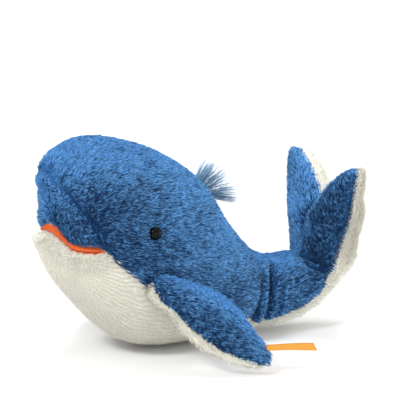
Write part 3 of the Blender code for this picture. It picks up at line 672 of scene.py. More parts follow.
class Graph:
    """Adds and links the nodes of one tree."""

    def __init__(self, tree):
        self.tree = tree

    def add(self, kind, settings=None, **values):
        node = self.tree.nodes.new(kind)
        for key, value in (settings or {}).items():
            setattr(node, key, value)
        for key, value in values.items():
            self.set(node, key.replace("_", " "), value)
        return node

    def set(self, node, name, value):
        target = socket(node.inputs, name) if isinstance(name, str) else node.inputs[name]
        if isinstance(value, bpy.types.NodeSocket):
            self.tree.links.new(value, target)
        else:
            target.default_value = value

    def math(self, operation, one, two=0.0, three=0.0):
        node = self.tree.nodes.new("ShaderNodeMath")
        node.operation = operation
        for number, value in enumerate((one, two, three)):
            self.set(node, number, value)
        return node.outputs[0]

    def attribute(self, name, kind="FLOAT"):
        node = self.add("GeometryNodeInputNamedAttribute", {"data_type": kind}, Name=name)
        return socket(node.outputs, "Attribute")

    def noise(self, where, scale, detail=2.0):
        """A soft random value at each place."""
        return self.add("ShaderNodeTexNoise", Vector=where, Scale=scale, Detail=detail).outputs[0]

    def ramp(self, value, start, end, low=0.0, high=1.0):
        """A value that runs from low to high between start and end."""
        node = self.add("ShaderNodeMapRange", Value=value)
        for key, number in (("From Min", start), ("From Max", end), ("To Min", low), ("To Max", high)):
            self.set(node, key, number)
        return node.outputs[0]

    def roughen(self, shader, height, distance):
        """Raise a material's fine grain."""
        rough = self.add("ShaderNodeBump", Height=height, Distance=distance)
        self.set(shader, "Normal", rough.outputs[0])

    def seen(self):
        """1 where the camera sees a thing, straight or through a shine."""
        path = self.add("ShaderNodeLightPath").outputs
        straight = self.math("MAXIMUM", path["Is Camera Ray"], path["Is Glossy Ray"])
        return self.math("MAXIMUM", straight, path["Is Transmission Ray"])

    def rib_valley(self, place, girth, spacing):
        """1 in the valleys between the belly's ribs, 0 along their crests."""
        waved = self.math("MULTIPLY_ADD", self.noise(place, 70.0, 1.0), spacing * 2.2, girth)
        turns = self.math("MULTIPLY", waved, math.tau / spacing)
        return self.math("MULTIPLY_ADD", self.math("COSINE", turns), -0.5, 0.5)

    def random(self, low, high, seed):
        node = self.add("FunctionNodeRandomValue", {"data_type": "FLOAT"}, Min=low, Max=high, Seed=seed)
        return socket(node.outputs, "Value")


def pile_nodes(name, tuft, look, seed, fabric, keep, ribbed):
    """A geometry tree that covers a hide in tufts, combed along its stored directions."""
    tree = bpy.data.node_groups.new(name, "GeometryNodeTree")
    tree.interface.new_socket("Geometry", in_out="INPUT", socket_type="NodeSocketGeometry")
    tree.interface.new_socket("Geometry", in_out="OUTPUT", socket_type="NodeSocketGeometry")
    graph = Graph(tree)
    start = graph.add("NodeGroupInput")
    spread = graph.add(
        "GeometryNodeDistributePointsOnFaces",
        {"distribute_method": "RANDOM"},
        Mesh=start.outputs["Geometry"],
        Density=look.density,
        Seed=seed,
    )
    place = graph.add("GeometryNodeInputPosition").outputs[0]
    parts = graph.add("ShaderNodeSeparateXYZ", Vector=place)
    drop = graph.math("LESS_THAN", graph.math("MULTIPLY", graph.attribute("fabric"), fabric), -0.0004)
    for axis, limit, sign in keep:
        beyond = graph.math("MULTIPLY", graph.math("SUBTRACT", parts.outputs[axis], limit), sign)
        drop = graph.math("MAXIMUM", drop, graph.math("LESS_THAN", beyond, 0.0))
    drop = graph.math("MAXIMUM", drop, graph.math("LESS_THAN", graph.attribute("pile"), 0.0006))
    length = graph.math("MULTIPLY", graph.attribute("pile"), graph.random(0.70, 1.30, seed + 3))
    nap = graph.attribute("nap")
    # Painted shade on the tufts in folds and seams and where they are marked to stand up, and painted light where
    # they lie flat.
    shade = graph.math("MULTIPLY_ADD", graph.attribute("crease"), -0.62, graph.math("MULTIPLY", nap, -0.30))
    if ribbed:
        valley = graph.rib_valley(place, graph.attribute("girth"), look.rib_spacing)
        valley = graph.math("MULTIPLY", valley, graph.attribute("ribs"))
        chance = graph.random(0.18, 0.80, seed + 5)
        drop = graph.math("MAXIMUM", drop, graph.math("GREATER_THAN", valley, chance))
        length = graph.math("MULTIPLY", length, graph.math("MULTIPLY_ADD", valley, -0.5, 1.0))
        # Painted shade in the valleys between the ribs.
        shade = graph.math("MULTIPLY_ADD", valley, -0.8, shade)
    kept = graph.add(
        "GeometryNodeDeleteGeometry",
        {"domain": "POINT"},
        Geometry=socket(spread.outputs, "Points"),
        Selection=drop,
    )
    clump = graph.noise(place, look.clump_scale)
    swirl = graph.math("SUBTRACT", clump, 0.5)
    speck = graph.noise(place, look.speckle_scale)
    speckle = graph.math("SUBTRACT", speck, 0.5)
    spin = graph.math("MULTIPLY_ADD", swirl, look.clump_turn, graph.random(-0.30, 0.30, seed + 1))
    spin = graph.math("MULTIPLY_ADD", speckle, look.speckle_turn, spin)
    tilt = graph.math("MULTIPLY_ADD", speckle, 1.1, graph.random(-0.26, 0.18, seed + 2))
    tilt = graph.math("MULTIPLY_ADD", nap, -0.25, tilt)
    turn = graph.add("ShaderNodeCombineXYZ", X=graph.random(-0.28, 0.28, seed + 7), Y=tilt, Z=spin)
    seat = graph.add("FunctionNodeAxesToRotation", {"primary_axis": "Z", "secondary_axis": "X"})
    graph.set(seat, 0, socket(spread.outputs, "Normal"))
    graph.set(seat, 1, graph.attribute("comb", "FLOAT_VECTOR"))
    own_turn = graph.add("FunctionNodeEulerToRotation", Euler=turn.outputs[0])
    rotation = graph.add("FunctionNodeRotateRotation", {"rotation_space": "LOCAL"})
    graph.set(rotation, 0, seat.outputs[0])
    graph.set(rotation, 1, own_turn.outputs[0])
    width = graph.random(look.tuft_width * 0.65, look.tuft_width * 1.35, seed + 4)
    size = graph.add("ShaderNodeCombineXYZ", X=length, Y=width, Z=length)
    source = graph.add("GeometryNodeObjectInfo", Object=tuft)
    placed = graph.add(
        "GeometryNodeInstanceOnPoints",
        Points=kept.outputs[0],
        Instance=source.outputs["Geometry"],
        Rotation=rotation.outputs[0],
        Scale=size.outputs[0],
    )
    patch = graph.noise(place, look.patch_scale, 3.0)
    tint = graph.math("ADD", graph.random(0.5 - look.spread, 0.5 + look.spread, seed + 6), shade)
    tint = graph.math("MULTIPLY_ADD", graph.math("SUBTRACT", patch, 0.5), look.patchiness, tint)
    tint = graph.math("MULTIPLY_ADD", speckle, look.speckle, tint)
    tint = graph.math("MINIMUM", graph.math("MAXIMUM", tint, 0.02), 0.98)
    tinted = graph.add(
        "GeometryNodeStoreNamedAttribute",
        {"data_type": "FLOAT", "domain": "INSTANCE"},
        Geometry=placed.outputs[0],
        Name="tint",
        Value=tint,
    )
    real = graph.add("GeometryNodeRealizeInstances", Geometry=tinted.outputs[0])
    along = graph.math("MULTIPLY_ADD", graph.attribute("along"), 0.96, 0.02)
    pair = graph.add("ShaderNodeCombineXYZ", X=graph.attribute("tint"), Y=along)
    mapped = graph.add(
        "GeometryNodeStoreNamedAttribute",
        {"data_type": "FLOAT2", "domain": "CORNER"},
        Geometry=real.outputs[0],
        Name=BAKE_MAP,
        Value=pair.outputs[0],
    )
    end = graph.add("NodeGroupOutput")
    tree.links.new(mapped.outputs[0], end.inputs[0])
    return tree


def add_pile(hide, name, tuft, look, seed, fabric, material, keep=(), ribbed=False):
    """Comb tufts onto one fabric of a hide, as a piece of its own."""
    item = bpy.data.objects.new(name, hide.data.copy())
    bpy.context.scene.collection.objects.link(item)
    combed = item.modifiers.new("Pile", "NODES")
    combed.node_group = pile_nodes(name, tuft, look, seed, fabric, keep, ribbed)
    settle(item)
    data = item.data
    drop_attributes(item, HIDE_MARKS + ("tint", "along"))
    data.materials.clear()
    data.materials.append(material)
    if not data.polygons:
        raise RuntimeError(name + " has no tufts")
    return item


# Materials


def principled(name, roughness, **uniform):
    """A new material, its shader and a graph for what feeds it."""
    material = bpy.data.materials.new(name)
    material.use_nodes = True
    shader = material.node_tree.nodes["Principled BSDF"]
    shader.inputs["Roughness"].default_value = roughness
    for key, value in uniform.items():
        shader.inputs[key.replace("_", " ")].default_value = value
    return material, shader, Graph(material.node_tree)


def shared_group(name, inputs, outputs):
    """A shader group with these sockets, and whether it is new."""
    tree = bpy.data.node_groups.get(name)
    if tree:
        return tree, False
    tree = bpy.data.node_groups.new(name, "ShaderNodeTree")
    for label, kind in inputs:
        tree.interface.new_socket(label, in_out="INPUT", socket_type=kind)
    for label, kind in outputs:
        tree.interface.new_socket(label, in_out="OUTPUT", socket_type=kind)
    return tree, True


COLOUR_SOCKET = "NodeSocketColor"
NUMBER_SOCKET = "NodeSocketFloat"


def mix(graph, share, one, two):
    """One colour over another by a share."""
    node = graph.tree.nodes.new("ShaderNodeMix")
    node.data_type = "RGBA"
    graph.set(node, 0, share)
    graph.set(node, 6, one)
    graph.set(node, 7, two)
    return node.outputs[2]


def tuft_shade():
    """Colour along a tuft from painted shade at its root to painted light at its tip, darker or lighter by its
    own tint, which also carries painted shade and light.
    """
    tree, new = shared_group(
        "Tuft shade",
        (
            ("Root", COLOUR_SOCKET),
            ("Middle", COLOUR_SOCKET),
            ("Tip", COLOUR_SOCKET),
            ("Along", NUMBER_SOCKET),
            ("Tint", NUMBER_SOCKET),
            ("Contrast", NUMBER_SOCKET),
        ),
        (("Color", COLOUR_SOCKET),),
    )
    if not new:
        return tree
    graph = Graph(tree)
    given = graph.add("NodeGroupInput").outputs
    colour = mix(graph, graph.ramp(given["Along"], 0.0, 0.5), given["Root"], given["Middle"])
    colour = mix(graph, graph.ramp(given["Along"], 0.5, 1.0), colour, given["Tip"])
    offset = graph.math("MULTIPLY", graph.math("SUBTRACT", given["Tint"], 0.62), given["Contrast"])
    value = graph.math("MINIMUM", graph.math("MAXIMUM", graph.math("ADD", offset, 1.0), 0.05), 1.33)
    colour = mix(graph, graph.math("MINIMUM", value, 1.0), given["Root"], colour)
    shade = graph.add("ShaderNodeHueSaturation", Color=colour, Value=graph.math("MAXIMUM", value, 1.0))
    end = graph.add("NodeGroupOutput")
    tree.links.new(shade.outputs[0], end.inputs["Color"])
    return tree


def pile_material(name, look, root, middle, tip):
    """A fabric's fibres, with painted shade at the roots and painted light at the tips."""
    material, shader, graph = principled(name, look.roughness)
    shader.inputs["Sheen Weight"].default_value = look.sheen
    shader.inputs["Sheen Roughness"].default_value = 0.45
    shader.inputs["Sheen Tint"].default_value = (*tip, 1.0)
    shader.inputs["Specular IOR Level"].default_value = 0.1
    where = graph.add("ShaderNodeUVMap", {"uv_map": BAKE_MAP})
    parts = graph.add("ShaderNodeSeparateXYZ", Vector=where.outputs[0])
    shade = graph.add("ShaderNodeGroup", {"node_tree": tuft_shade()})
    for key, value in (("Root", root), ("Middle", middle), ("Tip", tip)):
        shade.inputs[key].default_value = (*value, 1.0)
    graph.set(shade, "Along", parts.outputs[1])
    graph.set(shade, "Tint", parts.outputs[0])
    shade.inputs["Contrast"].default_value = look.contrast
    graph.set(shader, "Base Color", shade.outputs[0])
    return material


def weave_group():
    """Crossing threads as a height and a mask, from a point in millimetres."""
    tree, new = shared_group(
        "Weave",
        (("Vector", "NodeSocketVector"), ("Thread", NUMBER_SOCKET)),
        (("Height", NUMBER_SOCKET), ("Mask", NUMBER_SOCKET)),
    )
    if not new:
        return tree
    graph = Graph(tree)
    given = graph.add("NodeGroupInput").outputs
    parts = graph.add("ShaderNodeSeparateXYZ", Vector=given["Vector"])
    waves = []
    for number in (0, 1):
        turns = graph.math("DIVIDE", parts.outputs[number], given["Thread"])
        waves.append(graph.math("SINE", graph.math("MULTIPLY", turns, math.tau)))
    height = graph.math("MULTIPLY_ADD", graph.math("MULTIPLY", waves[0], waves[1]), 0.5)
    height.node.inputs[2].default_value = 0.5
    end = graph.add("NodeGroupOutput")
    tree.links.new(height, end.inputs["Height"])
    tree.links.new(height, end.inputs["Mask"])
    return tree


def hide_material():
    """The knitted ground under the pile: blue or white by the fabric that is sewn there, with painted shade in
    folds, seams and joins and in the valleys between the belly's ribs.
    """
    settings = bpy.context.scene.whale_colours
    material, shader, graph = principled("plush_ground", 0.95, Specular_IOR_Level=0.1)
    fabric = graph.add("ShaderNodeAttribute", {"attribute_name": "fabric"}).outputs["Fac"]
    share = graph.ramp(fabric, -0.0006, 0.0006)
    where = graph.add("ShaderNodeTexCoord").outputs["Object"]
    fuzz = graph.noise(where, 900.0, 3.0)
    blue = mix(graph, fuzz, (*settings.blue_root_shade, 1.0), (*settings.blue_middle, 1.0))
    white = mix(graph, fuzz, (*settings.white_root_shade, 1.0), (*settings.white_middle, 1.0))
    colour = mix(graph, share, white, blue)
    crease = graph.add("ShaderNodeAttribute", {"attribute_name": "crease"}).outputs["Fac"]
    ribs = graph.add("ShaderNodeAttribute", {"attribute_name": "ribs"}).outputs["Fac"]
    girth = graph.add("ShaderNodeAttribute", {"attribute_name": "girth"}).outputs["Fac"]
    spacing = bpy.context.scene.whale_belly.rib_spacing
    valley = graph.rib_valley(where, girth, spacing)
    # Painted shade in the rib valleys and in the folds, seams and joins.
    depth = graph.math("MULTIPLY", graph.math("MULTIPLY", valley, ribs), 0.6)
    depth = graph.math("MAXIMUM", depth, graph.math("MULTIPLY", crease, 0.75))
    white_fold_shade = tuple(part * 0.6 for part in settings.white_root_shade)
    colour = mix(graph, depth, colour, mix(graph, share, (*white_fold_shade, 1.0), (*settings.blue_root_shade, 1.0)))
    graph.set(shader, "Base Color", colour)
    graph.roughen(shader, fuzz, 0.0006)
    return material


# Sizes and colours that a user would change


class PileLook(bpy.types.PropertyGroup):
    """How one fabric's pile is cut and combed."""

    density: bpy.props.FloatProperty(name="Density", description="Tufts on a square metre", default=1300000.0)
    tuft_width: bpy.props.FloatProperty(
        name="Tuft width",
        description="Width of a tuft at its root",
        default=0.0009,
        unit="LENGTH",
        precision=5,
    )
    clump_scale: bpy.props.FloatProperty(
        name="Clump scale",
        description="Clumps along a metre",
        default=110.0,
    )
    clump_turn: bpy.props.FloatProperty(
        name="Clump turn", description="How far neighbouring clumps turn from the comb", default=1.5
    )
    speckle_scale: bpy.props.FloatProperty(
        name="Speckle scale",
        description="Small clumps along a metre",
        default=420.0,
    )
    speckle_turn: bpy.props.FloatProperty(
        name="Speckle turn", description="How far small clumps turn from the comb", default=2.6
    )
    speckle: bpy.props.FloatProperty(
        name="Speckle",
        description="Lighter and darker small clumps",
        default=3.0,
    )
    patch_scale: bpy.props.FloatProperty(
        name="Patch scale",
        description="Patches along a metre",
        default=45.0,
    )
    patchiness: bpy.props.FloatProperty(
        name="Patchiness",
        description="Lighter and darker patches",
        default=0.9,
    )
    spread: bpy.props.FloatProperty(name="Spread", description="Lighter and darker tufts", default=0.30)
    contrast: bpy.props.FloatProperty(name="Contrast", description="Difference between tufts", default=1.5)
    roughness: bpy.props.FloatProperty(name="Roughness", description="Roughness of the fibres", default=0.8)
    sheen: bpy.props.FloatProperty(name="Sheen", description="Soft light along the edges", default=0.1)
    rib_spacing: bpy.props.FloatProperty(
        name="Rib spacing",
        description="Distance between the belly's ribs",
        default=0.0026,
        unit="LENGTH",
        precision=5,
    )


class WhaleShape(bpy.types.PropertyGroup):
    """Sizes of the soft forms."""

    voxel: bpy.props.FloatProperty(
        name="Grain", description="Edge of the remesh's voxels", default=0.003, unit="LENGTH", precision=4
    )
    pile_room: bpy.props.FloatProperty(
        name="Pile room",
        description="How far the hide lies under the tips",
        default=0.0030,
        unit="LENGTH",
        precision=4,
    )
    swell: bpy.props.FloatProperty(
        name="Swell",
        description="Most that the filling swells a hide",
        default=0.0016,
        unit="LENGTH",
        precision=4,
    )
    pressure: bpy.props.FloatProperty(name="Pressure", description="Pressure of the filling", default=4.0)
    blue_pile: bpy.props.FloatProperty(
        name="Blue pile", description="Length of the blue pile", default=0.0048, unit="LENGTH", precision=4
    )
    belly_pile: bpy.props.FloatProperty(
        name="Belly pile", description="Length of the ribbed pile", default=0.0021, unit="LENGTH", precision=4
    )
    white_pile: bpy.props.FloatProperty(
        name="White pile",
        description="Length of the limbs' white pile",
        default=0.0048,
        unit="LENGTH",
        precision=4,
    )


class WhaleColours(bpy.types.PropertyGroup):
    """Colours of the fabrics and trims."""

    # The root colours are painted shade deep in the pile, the tip colours painted light on its tips.
    blue_root_shade: bpy.props.FloatVectorProperty(
        name="Blue root", description="Deep in the blue pile", subtype="COLOR", default=(0.004, 0.019, 0.078)
    )
    blue_middle: bpy.props.FloatVectorProperty(
        name="Blue middle",
        description="Body of the blue pile",
        subtype="COLOR",
        default=(0.053, 0.202, 0.500),
    )
    blue_tip_light: bpy.props.FloatVectorProperty(
        name="Blue tip", description="Tips of the blue pile", subtype="COLOR", default=(0.200, 0.460, 0.735)
    )
    white_root_shade: bpy.props.FloatVectorProperty(
        name="White root",
        description="Deep in the white pile",
        subtype="COLOR",
        default=(0.660, 0.635, 0.540),
    )
    white_middle: bpy.props.FloatVectorProperty(
        name="White middle",
        description="Body of the white pile",
        subtype="COLOR",
        default=(0.890, 0.880, 0.790),
    )
    white_tip_light: bpy.props.FloatVectorProperty(
        name="White tip", description="Tips of the white pile", subtype="COLOR", default=(0.950, 0.945, 0.880)
    )
    lining: bpy.props.FloatVectorProperty(
        name="Lining", description="Lining of the mouth", subtype="COLOR", default=(0.720, 0.130, 0.035)
    )
    ribbon: bpy.props.FloatVectorProperty(
        name="Ribbon", description="Ribbon of the tag", subtype="COLOR", default=(0.780, 0.360, 0.050)
    )


# Operators


def hide_of(name):
    """A hide that an earlier operator made."""
    item = bpy.data.objects.get(name)
    if item is None:
        raise RuntimeError("the hide " + name + " comes first")
    return item


class WHALE_OT_body_hide(bpy.types.Operator):
    """Make the filled skins of the body, the tail and the flukes"""

    bl_idname = "whale.body_hide"
    bl_label = "Body, tail and flukes"

    def execute(self, context):
        shape = context.scene.whale_shape
        names = BODY_BLUE + ("belly_panel", "body_stuffing") + TAIL_NODES + FLUKE_NODES
        whole = remeshed(names, "whole_skin", shape.voxel)
        draw_in(whole, shape.pile_room + shape.swell, 9)
        puff(whole, shape.pressure, shape.swell)
        subdivided(whole)
        mark_body(whole)
        refine(whole, pressed_sharply(whole))
        press_body(whole)
        points = points_of(whole)
        normals = normals_of(whole)
        limb = smoothstep(points[:, 0], TAIL_HINGE.x - 0.01, TAIL_HINGE.x + 0.012)
        put_attribute(whole, "girth", belly_girth(points))
        put_attribute(whole, "ribs", smoothstep(read_attribute(whole, "lining"), 0.005, 0.013) * (1.0 - limb))
        dress(
            whole,
            body_comb(points, normals),
            body_pile(whole, shape, limb),
            read_attribute(whole, "crease"),
        )
        whole.data.materials.append(hide_material())
        across = Vector((1.0, 0.0, 0.0))
        tail_cut = TAIL_HINGE - across * TAIL_STEP
        part_of(whole, "body_hide", ((tail_cut, across),))
        part_of(whole, "tail_hide", ((tail_cut, -across), (FLUKE_FOOT, FLUKE_RISE)))
        part_of(whole, "fluke_hide", ((tail_cut, -across), (FLUKE_FOOT, -FLUKE_RISE)))
        bpy.data.objects.remove(whole)
        for name in ("body_hide", "tail_hide", "fluke_hide"):
            bpy.data.objects[name].data.materials.append(bpy.data.materials["plush_ground"])
        return {"FINISHED"}


def pressed_sharply(item):
    """Which points of the body's skin lie where it is pressed in a narrow line."""
    points = points_of(item)
    near = snout_groove(item, 0.0035) > 0.05
    for mask, _ in folds_of(points, normals_of(item)):
        near |= mask > 0.02
    near |= (read_attribute(item, "lining") < 0.0075) & (points[:, 0] < NOSE.x + 0.05)
    near |= read_attribute(item, "eyes") < 0.006
    return near


def body_pile(item, shape, limb):
    """Length of the pile over the body, the tail and the flukes."""
    blue = read_attribute(item, "fabric") > 0.0
    lining = read_attribute(item, "lining")
    snout = read_attribute(item, "snout")
    eyes = read_attribute(item, "eyes")
    crease = read_attribute(item, "crease")
    points = points_of(item)
    front = smoothstep(-points[:, 0], 0.080, 0.098)
    pressed = np.zeros(len(points))
    normals = normals_of(item)
    # A tuft that would lie over a fold is cut short too.
    for place in (points, points + 0.0028 * body_comb(points, normals)):
        for mask, amount in folds_of(place, normals, 1.4):
            pressed = np.maximum(pressed, mask * min(1.0, amount / 0.004))
    white_pile = shape.belly_pile + (shape.white_pile - shape.belly_pile) * limb
    white_pile = white_pile + 0.0022 * bump(lining - 0.006, 0.006)
    seam = 1.0 - 0.45 * bump(read_attribute(item, "fabric"), 0.0028) * limb
    blue_pile = shape.blue_pile * (0.6 + 0.4 * smoothstep(lining, 0.002, 0.010))
    # Tufts on the snout's side stop at the seam, and those behind it start short.
    reach = np.where(snout < 0.0, 0.0007 - 0.8 * snout, 0.0009 + 2.4 * snout)
    blue_pile = np.minimum(blue_pile, reach + (1.0 - front) * shape.blue_pile)
    blue_pile = blue_pile * (0.6 + 0.4 * smoothstep(eyes, 0.002, 0.008))
    pile = np.where(blue, blue_pile, white_pile) * seam * (1.0 - 0.6 * crease) * (1.0 - 0.72 * pressed)
    lips = np.where(blue, 0.0012, 0.0015)
    bare = (eyes < 0.0003) | ((lining < lips) & (front > 0.5)) | (blue & (snout_groove(item, 0.0010) > 0.6))
    bare |= blue & (crease > 0.84)
    return np.where(bare, 0.0, pile)


class WHALE_OT_flipper_hides(bpy.types.Operator):
    """Make the filled skins of the two flippers"""

    bl_idname = "whale.flipper_hides"
    bl_label = "Flippers"

    def execute(self, context):
        shape = context.scene.whale_shape
        body = hide_of("body_hide")
        for side in ("left", "right"):
            names = tuple(side + "_flipper_" + part for part in ("top", "underside", "stuffing"))
            item = remeshed(names, side + "_flipper_hide", shape.voxel * 0.85)
            draw_in(item, shape.pile_room * 0.8 + shape.swell, 5)
            puff(item, shape.pressure, shape.swell)
            hinge = FLIPPER_HINGES[side]
            points = points_of(item)
            offset = points - np.array(hinge)
            tip = points[np.argmax(np.linalg.norm(offset, axis=1))]
            along = (Vector(tip) - hinge).normalized()
            reach = offset @ np.array(along)
            # The root reaches through the pile to the body's skin.
            root = 1.0 - smoothstep(reach, 0.0, 0.022)
            put_points(item, points - np.array(along) * (0.009 * root)[:, None])
            subdivided(item)
            points = points_of(item)
            fabric = seam_distance(points, names[:1], names[1:2])
            offset = points - np.array(hinge)
            trailing = offset @ np.array(along.cross(Vector((0.0, 0.0, 1.0))).normalized())
            trailing = -trailing if side == "left" else trailing
            root = 1.0 - smoothstep(offset @ np.array(along), 0.004, 0.026)
            middle = 1.0 - smoothstep(offset @ np.array(along), 0.080, 0.110)
            fabric = fabric + 0.0045 * smoothstep(trailing, -0.002, 0.012) + 0.0010 * root
            fabric = fabric - 0.0034 * smoothstep(-trailing, -0.002, 0.012) * middle
            put_attribute(item, "fabric", fabric)
            way = np.array(along) + np.zeros_like(points)
            pile = np.where(fabric > 0.0, shape.blue_pile * 0.95, shape.white_pile * 0.62)
            out = smoothstep(offset @ np.array(along), 0.055, 0.095)
            # Painted shade over the flipper, with less of it and painted light along the trailing edge and
            # towards the tip, where the tufts lie flatter.
            painted_shade_and_lie = 0.82 - 2.3 * smoothstep(trailing, -0.004, 0.012) - 0.9 * out
            dress(item, tangent(way, normals_of(item)), pile, np.zeros(len(points)), painted_shade_and_lie)
            nest(item, body)
            item.data.materials.append(bpy.data.materials["plush_ground"])
        # Painted shade on the body round each flipper's root.
        for side in ("left", "right"):
            nest(body, hide_of(side + "_flipper_hide"), 0.0120)
        return {"FINISHED"}


class WHALE_OT_pile(bpy.types.Operator):
    """Comb the blue and the white pile onto every hide"""

    bl_idname = "whale.pile"
    bl_label = "Pile"

    def execute(self, context):
        scene = context.scene
        shades = scene.whale_colours
        blue_look = scene.whale_blue
        white_look = scene.whale_white
        belly_look = scene.whale_belly
        blue = pile_material("blue_pile", blue_look, shades.blue_root_shade, shades.blue_middle, shades.blue_tip_light)
        white = pile_material(
            "white_pile",
            white_look,
            shades.white_root_shade,
            shades.white_middle,
            shades.white_tip_light,
        )
        belly = pile_material(
            "belly_pile",
            belly_look,
            shades.white_root_shade,
            shades.white_middle,
            shades.white_tip_light,
        )
        tuft = tuft_mesh("tuft", 0.5, ((0.5, 0.36, 0.42, 0.86), (1.0, 0.84, 0.68, 0.3)))
        body = hide_of("body_hide")
        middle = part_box("back_left_panel")[0].x * 0.5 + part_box("back_left_panel")[1].x * 0.5
        left = (1, MIDDLE, -1)
        right = (1, MIDDLE, 1)
        head = (0, middle, -1)
        flank = (0, middle, 1)
        seed = 11
        for part, look, fabric, material, planes in (
            ("head", blue_look, 1, blue, (head,)),
            ("flank", blue_look, 1, blue, (flank,)),
            ("belly", belly_look, -1, belly, ()),
        ):
            for side, half in (("left", left), ("right", right)):
                name = part + "_pile_" + side
                add_pile(body, name, tuft, look, seed, fabric, material, (half,) + planes, part == "belly")
                seed += 10
        for number, name in enumerate(("tail", "fluke", "left_flipper", "right_flipper")):
            hide = hide_of(name + "_hide")
            add_pile(hide, name + "_blue_pile", tuft, blue_look, 110 + 20 * number, 1, blue)
            add_pile(hide, name + "_white_pile", tuft, white_look, 120 + 20 * number, -1, white)
        bpy.data.objects.remove(tuft)
        return {"FINISHED"}


class WHALE_OT_mouth(bpy.types.Operator):
    """Line the mouth with orange-red velour between the lips"""

    bl_idname = "whale.mouth"
    bl_label = "Mouth lining"

    def execute(self, context):
        material, shader, graph = principled("mouth_velour", 0.9)
        shader.inputs["Sheen Weight"].default_value = 0.2
        shader.inputs["Sheen Tint"].default_value = (1.0, 0.4, 0.2, 1.0)
        shader.inputs["Specular IOR Level"].default_value = 0.1
        where = graph.add("ShaderNodeTexCoord").outputs["Object"]
        fuzz = graph.noise(where, 1300.0)
        cloud = graph.noise(where, 150.0)
        colour = context.scene.whale_colours.lining
        dark = tuple(part * 0.45 for part in colour)
        light = tuple(min(1.0, part * 1.3) for part in colour)
        shade = mix(graph, fuzz, (*dark, 1.0), (*light, 1.0))
        shade = mix(graph, graph.math("MULTIPLY", cloud, 0.8), shade, (*colour, 1.0))
        graph.set(shader, "Base Color", shade)
        graph.roughen(shader, fuzz, 0.0005)
        mesh = mesh_of(hide_of("body_hide"))
        lining = mesh.verts.layers.float["lining"]
        outside = [vert for vert in mesh.verts if vert[lining] > VELOUR_REACH]
        bmesh.ops.delete(mesh, geom=outside, context="VERTS")
        velour = new_piece("mouth_velour", mesh)
        drop_attributes(velour, HIDE_MARKS)
        velour.data.materials.clear()
        velour.data.materials.append(material)
        put_points(velour, points_of(velour) + normals_of(velour) * 0.0003)
        thick = velour.modifiers.new("Thickness", "SOLIDIFY")
        thick.thickness = 0.0008
        thick.offset = -1.0
        settle(velour)
        return {"FINISHED"}


def round_form(name):
    """Middle, outward axis, height and radius of a round node, from its points."""
    mesh = node_mesh((name,))
    points = np.array([vert.co for vert in mesh.verts])
    mesh.free()
    middle = points.mean(axis=0)
    axis = np.linalg.svd(points - middle)[2][0]
    if axis[1] * (middle[1] - MIDDLE) < 0.0:
        axis = -axis
    height = (points - middle) @ axis
    reach = np.linalg.norm((points - middle) - np.outer(height, axis), axis=1)
    return Vector(middle), Vector(axis), float(height.max()), float(reach.max())


class WHALE_OT_eyes(bpy.types.Operator):
    """Set the black domed eyes"""

    bl_idname = "whale.eyes"
    bl_label = "Eyes"

    flatness: bpy.props.FloatProperty(
        name="Flatness",
        description="Height of the dome on its radius",
        default=0.78,
    )

    def execute(self, context):
        material, shader, graph = principled("eye_gloss", 0.06, Specular_IOR_Level=0.10)
        where = graph.add("ShaderNodeTexCoord").outputs["Object"]
        speck = graph.noise(where, 600.0)
        shade = mix(graph, speck, (0.0006, 0.0006, 0.0008, 1.0), (0.0025, 0.0025, 0.0030, 1.0))
        graph.set(shader, "Base Color", shade)
        graph.set(shader, "Roughness", graph.ramp(speck, 0.0, 1.0, 0.05, 0.12))
        for side in ("left", "right"):
            middle, axis, height, radius = round_form(side + "_eye")
            dome = bmesh.new()
            bmesh.ops.create_uvsphere(dome, u_segments=40, v_segments=24, radius=radius)
            bmesh.ops.scale(dome, vec=(1.0, 1.0, self.flatness), verts=dome.verts)
            turn = axis.to_track_quat("Z", "Y").to_matrix()
            bmesh.ops.rotate(dome, cent=(0.0, 0.0, 0.0), matrix=turn, verts=dome.verts)
            seat = middle + axis * (height - radius * self.flatness - EYE_SEAT)
            bmesh.ops.translate(dome, vec=seat, verts=dome.verts)
            new_piece(side + "_eye_dome", dome, material)
        return {"FINISHED"}


# Each lock of the tuft: where it stands from front to back, its angle over the floor, its length and
# how far its tip bends up.
LOCKS = (
    (0.02, 61.0, 0.0215, -0.0010),
    (0.13, 51.0, 0.0225, 0.0010),
    (0.25, 42.0, 0.0240, 0.0012),
    (0.36, 33.0, 0.0260, 0.0010),
    (0.47, 24.0, 0.0270, -0.0005),
    (0.57, 15.0, 0.0320, -0.0060),
    (0.67, 8.0, 0.0330, -0.0080),
    (0.76, 0.0, 0.0300, -0.0075),
)


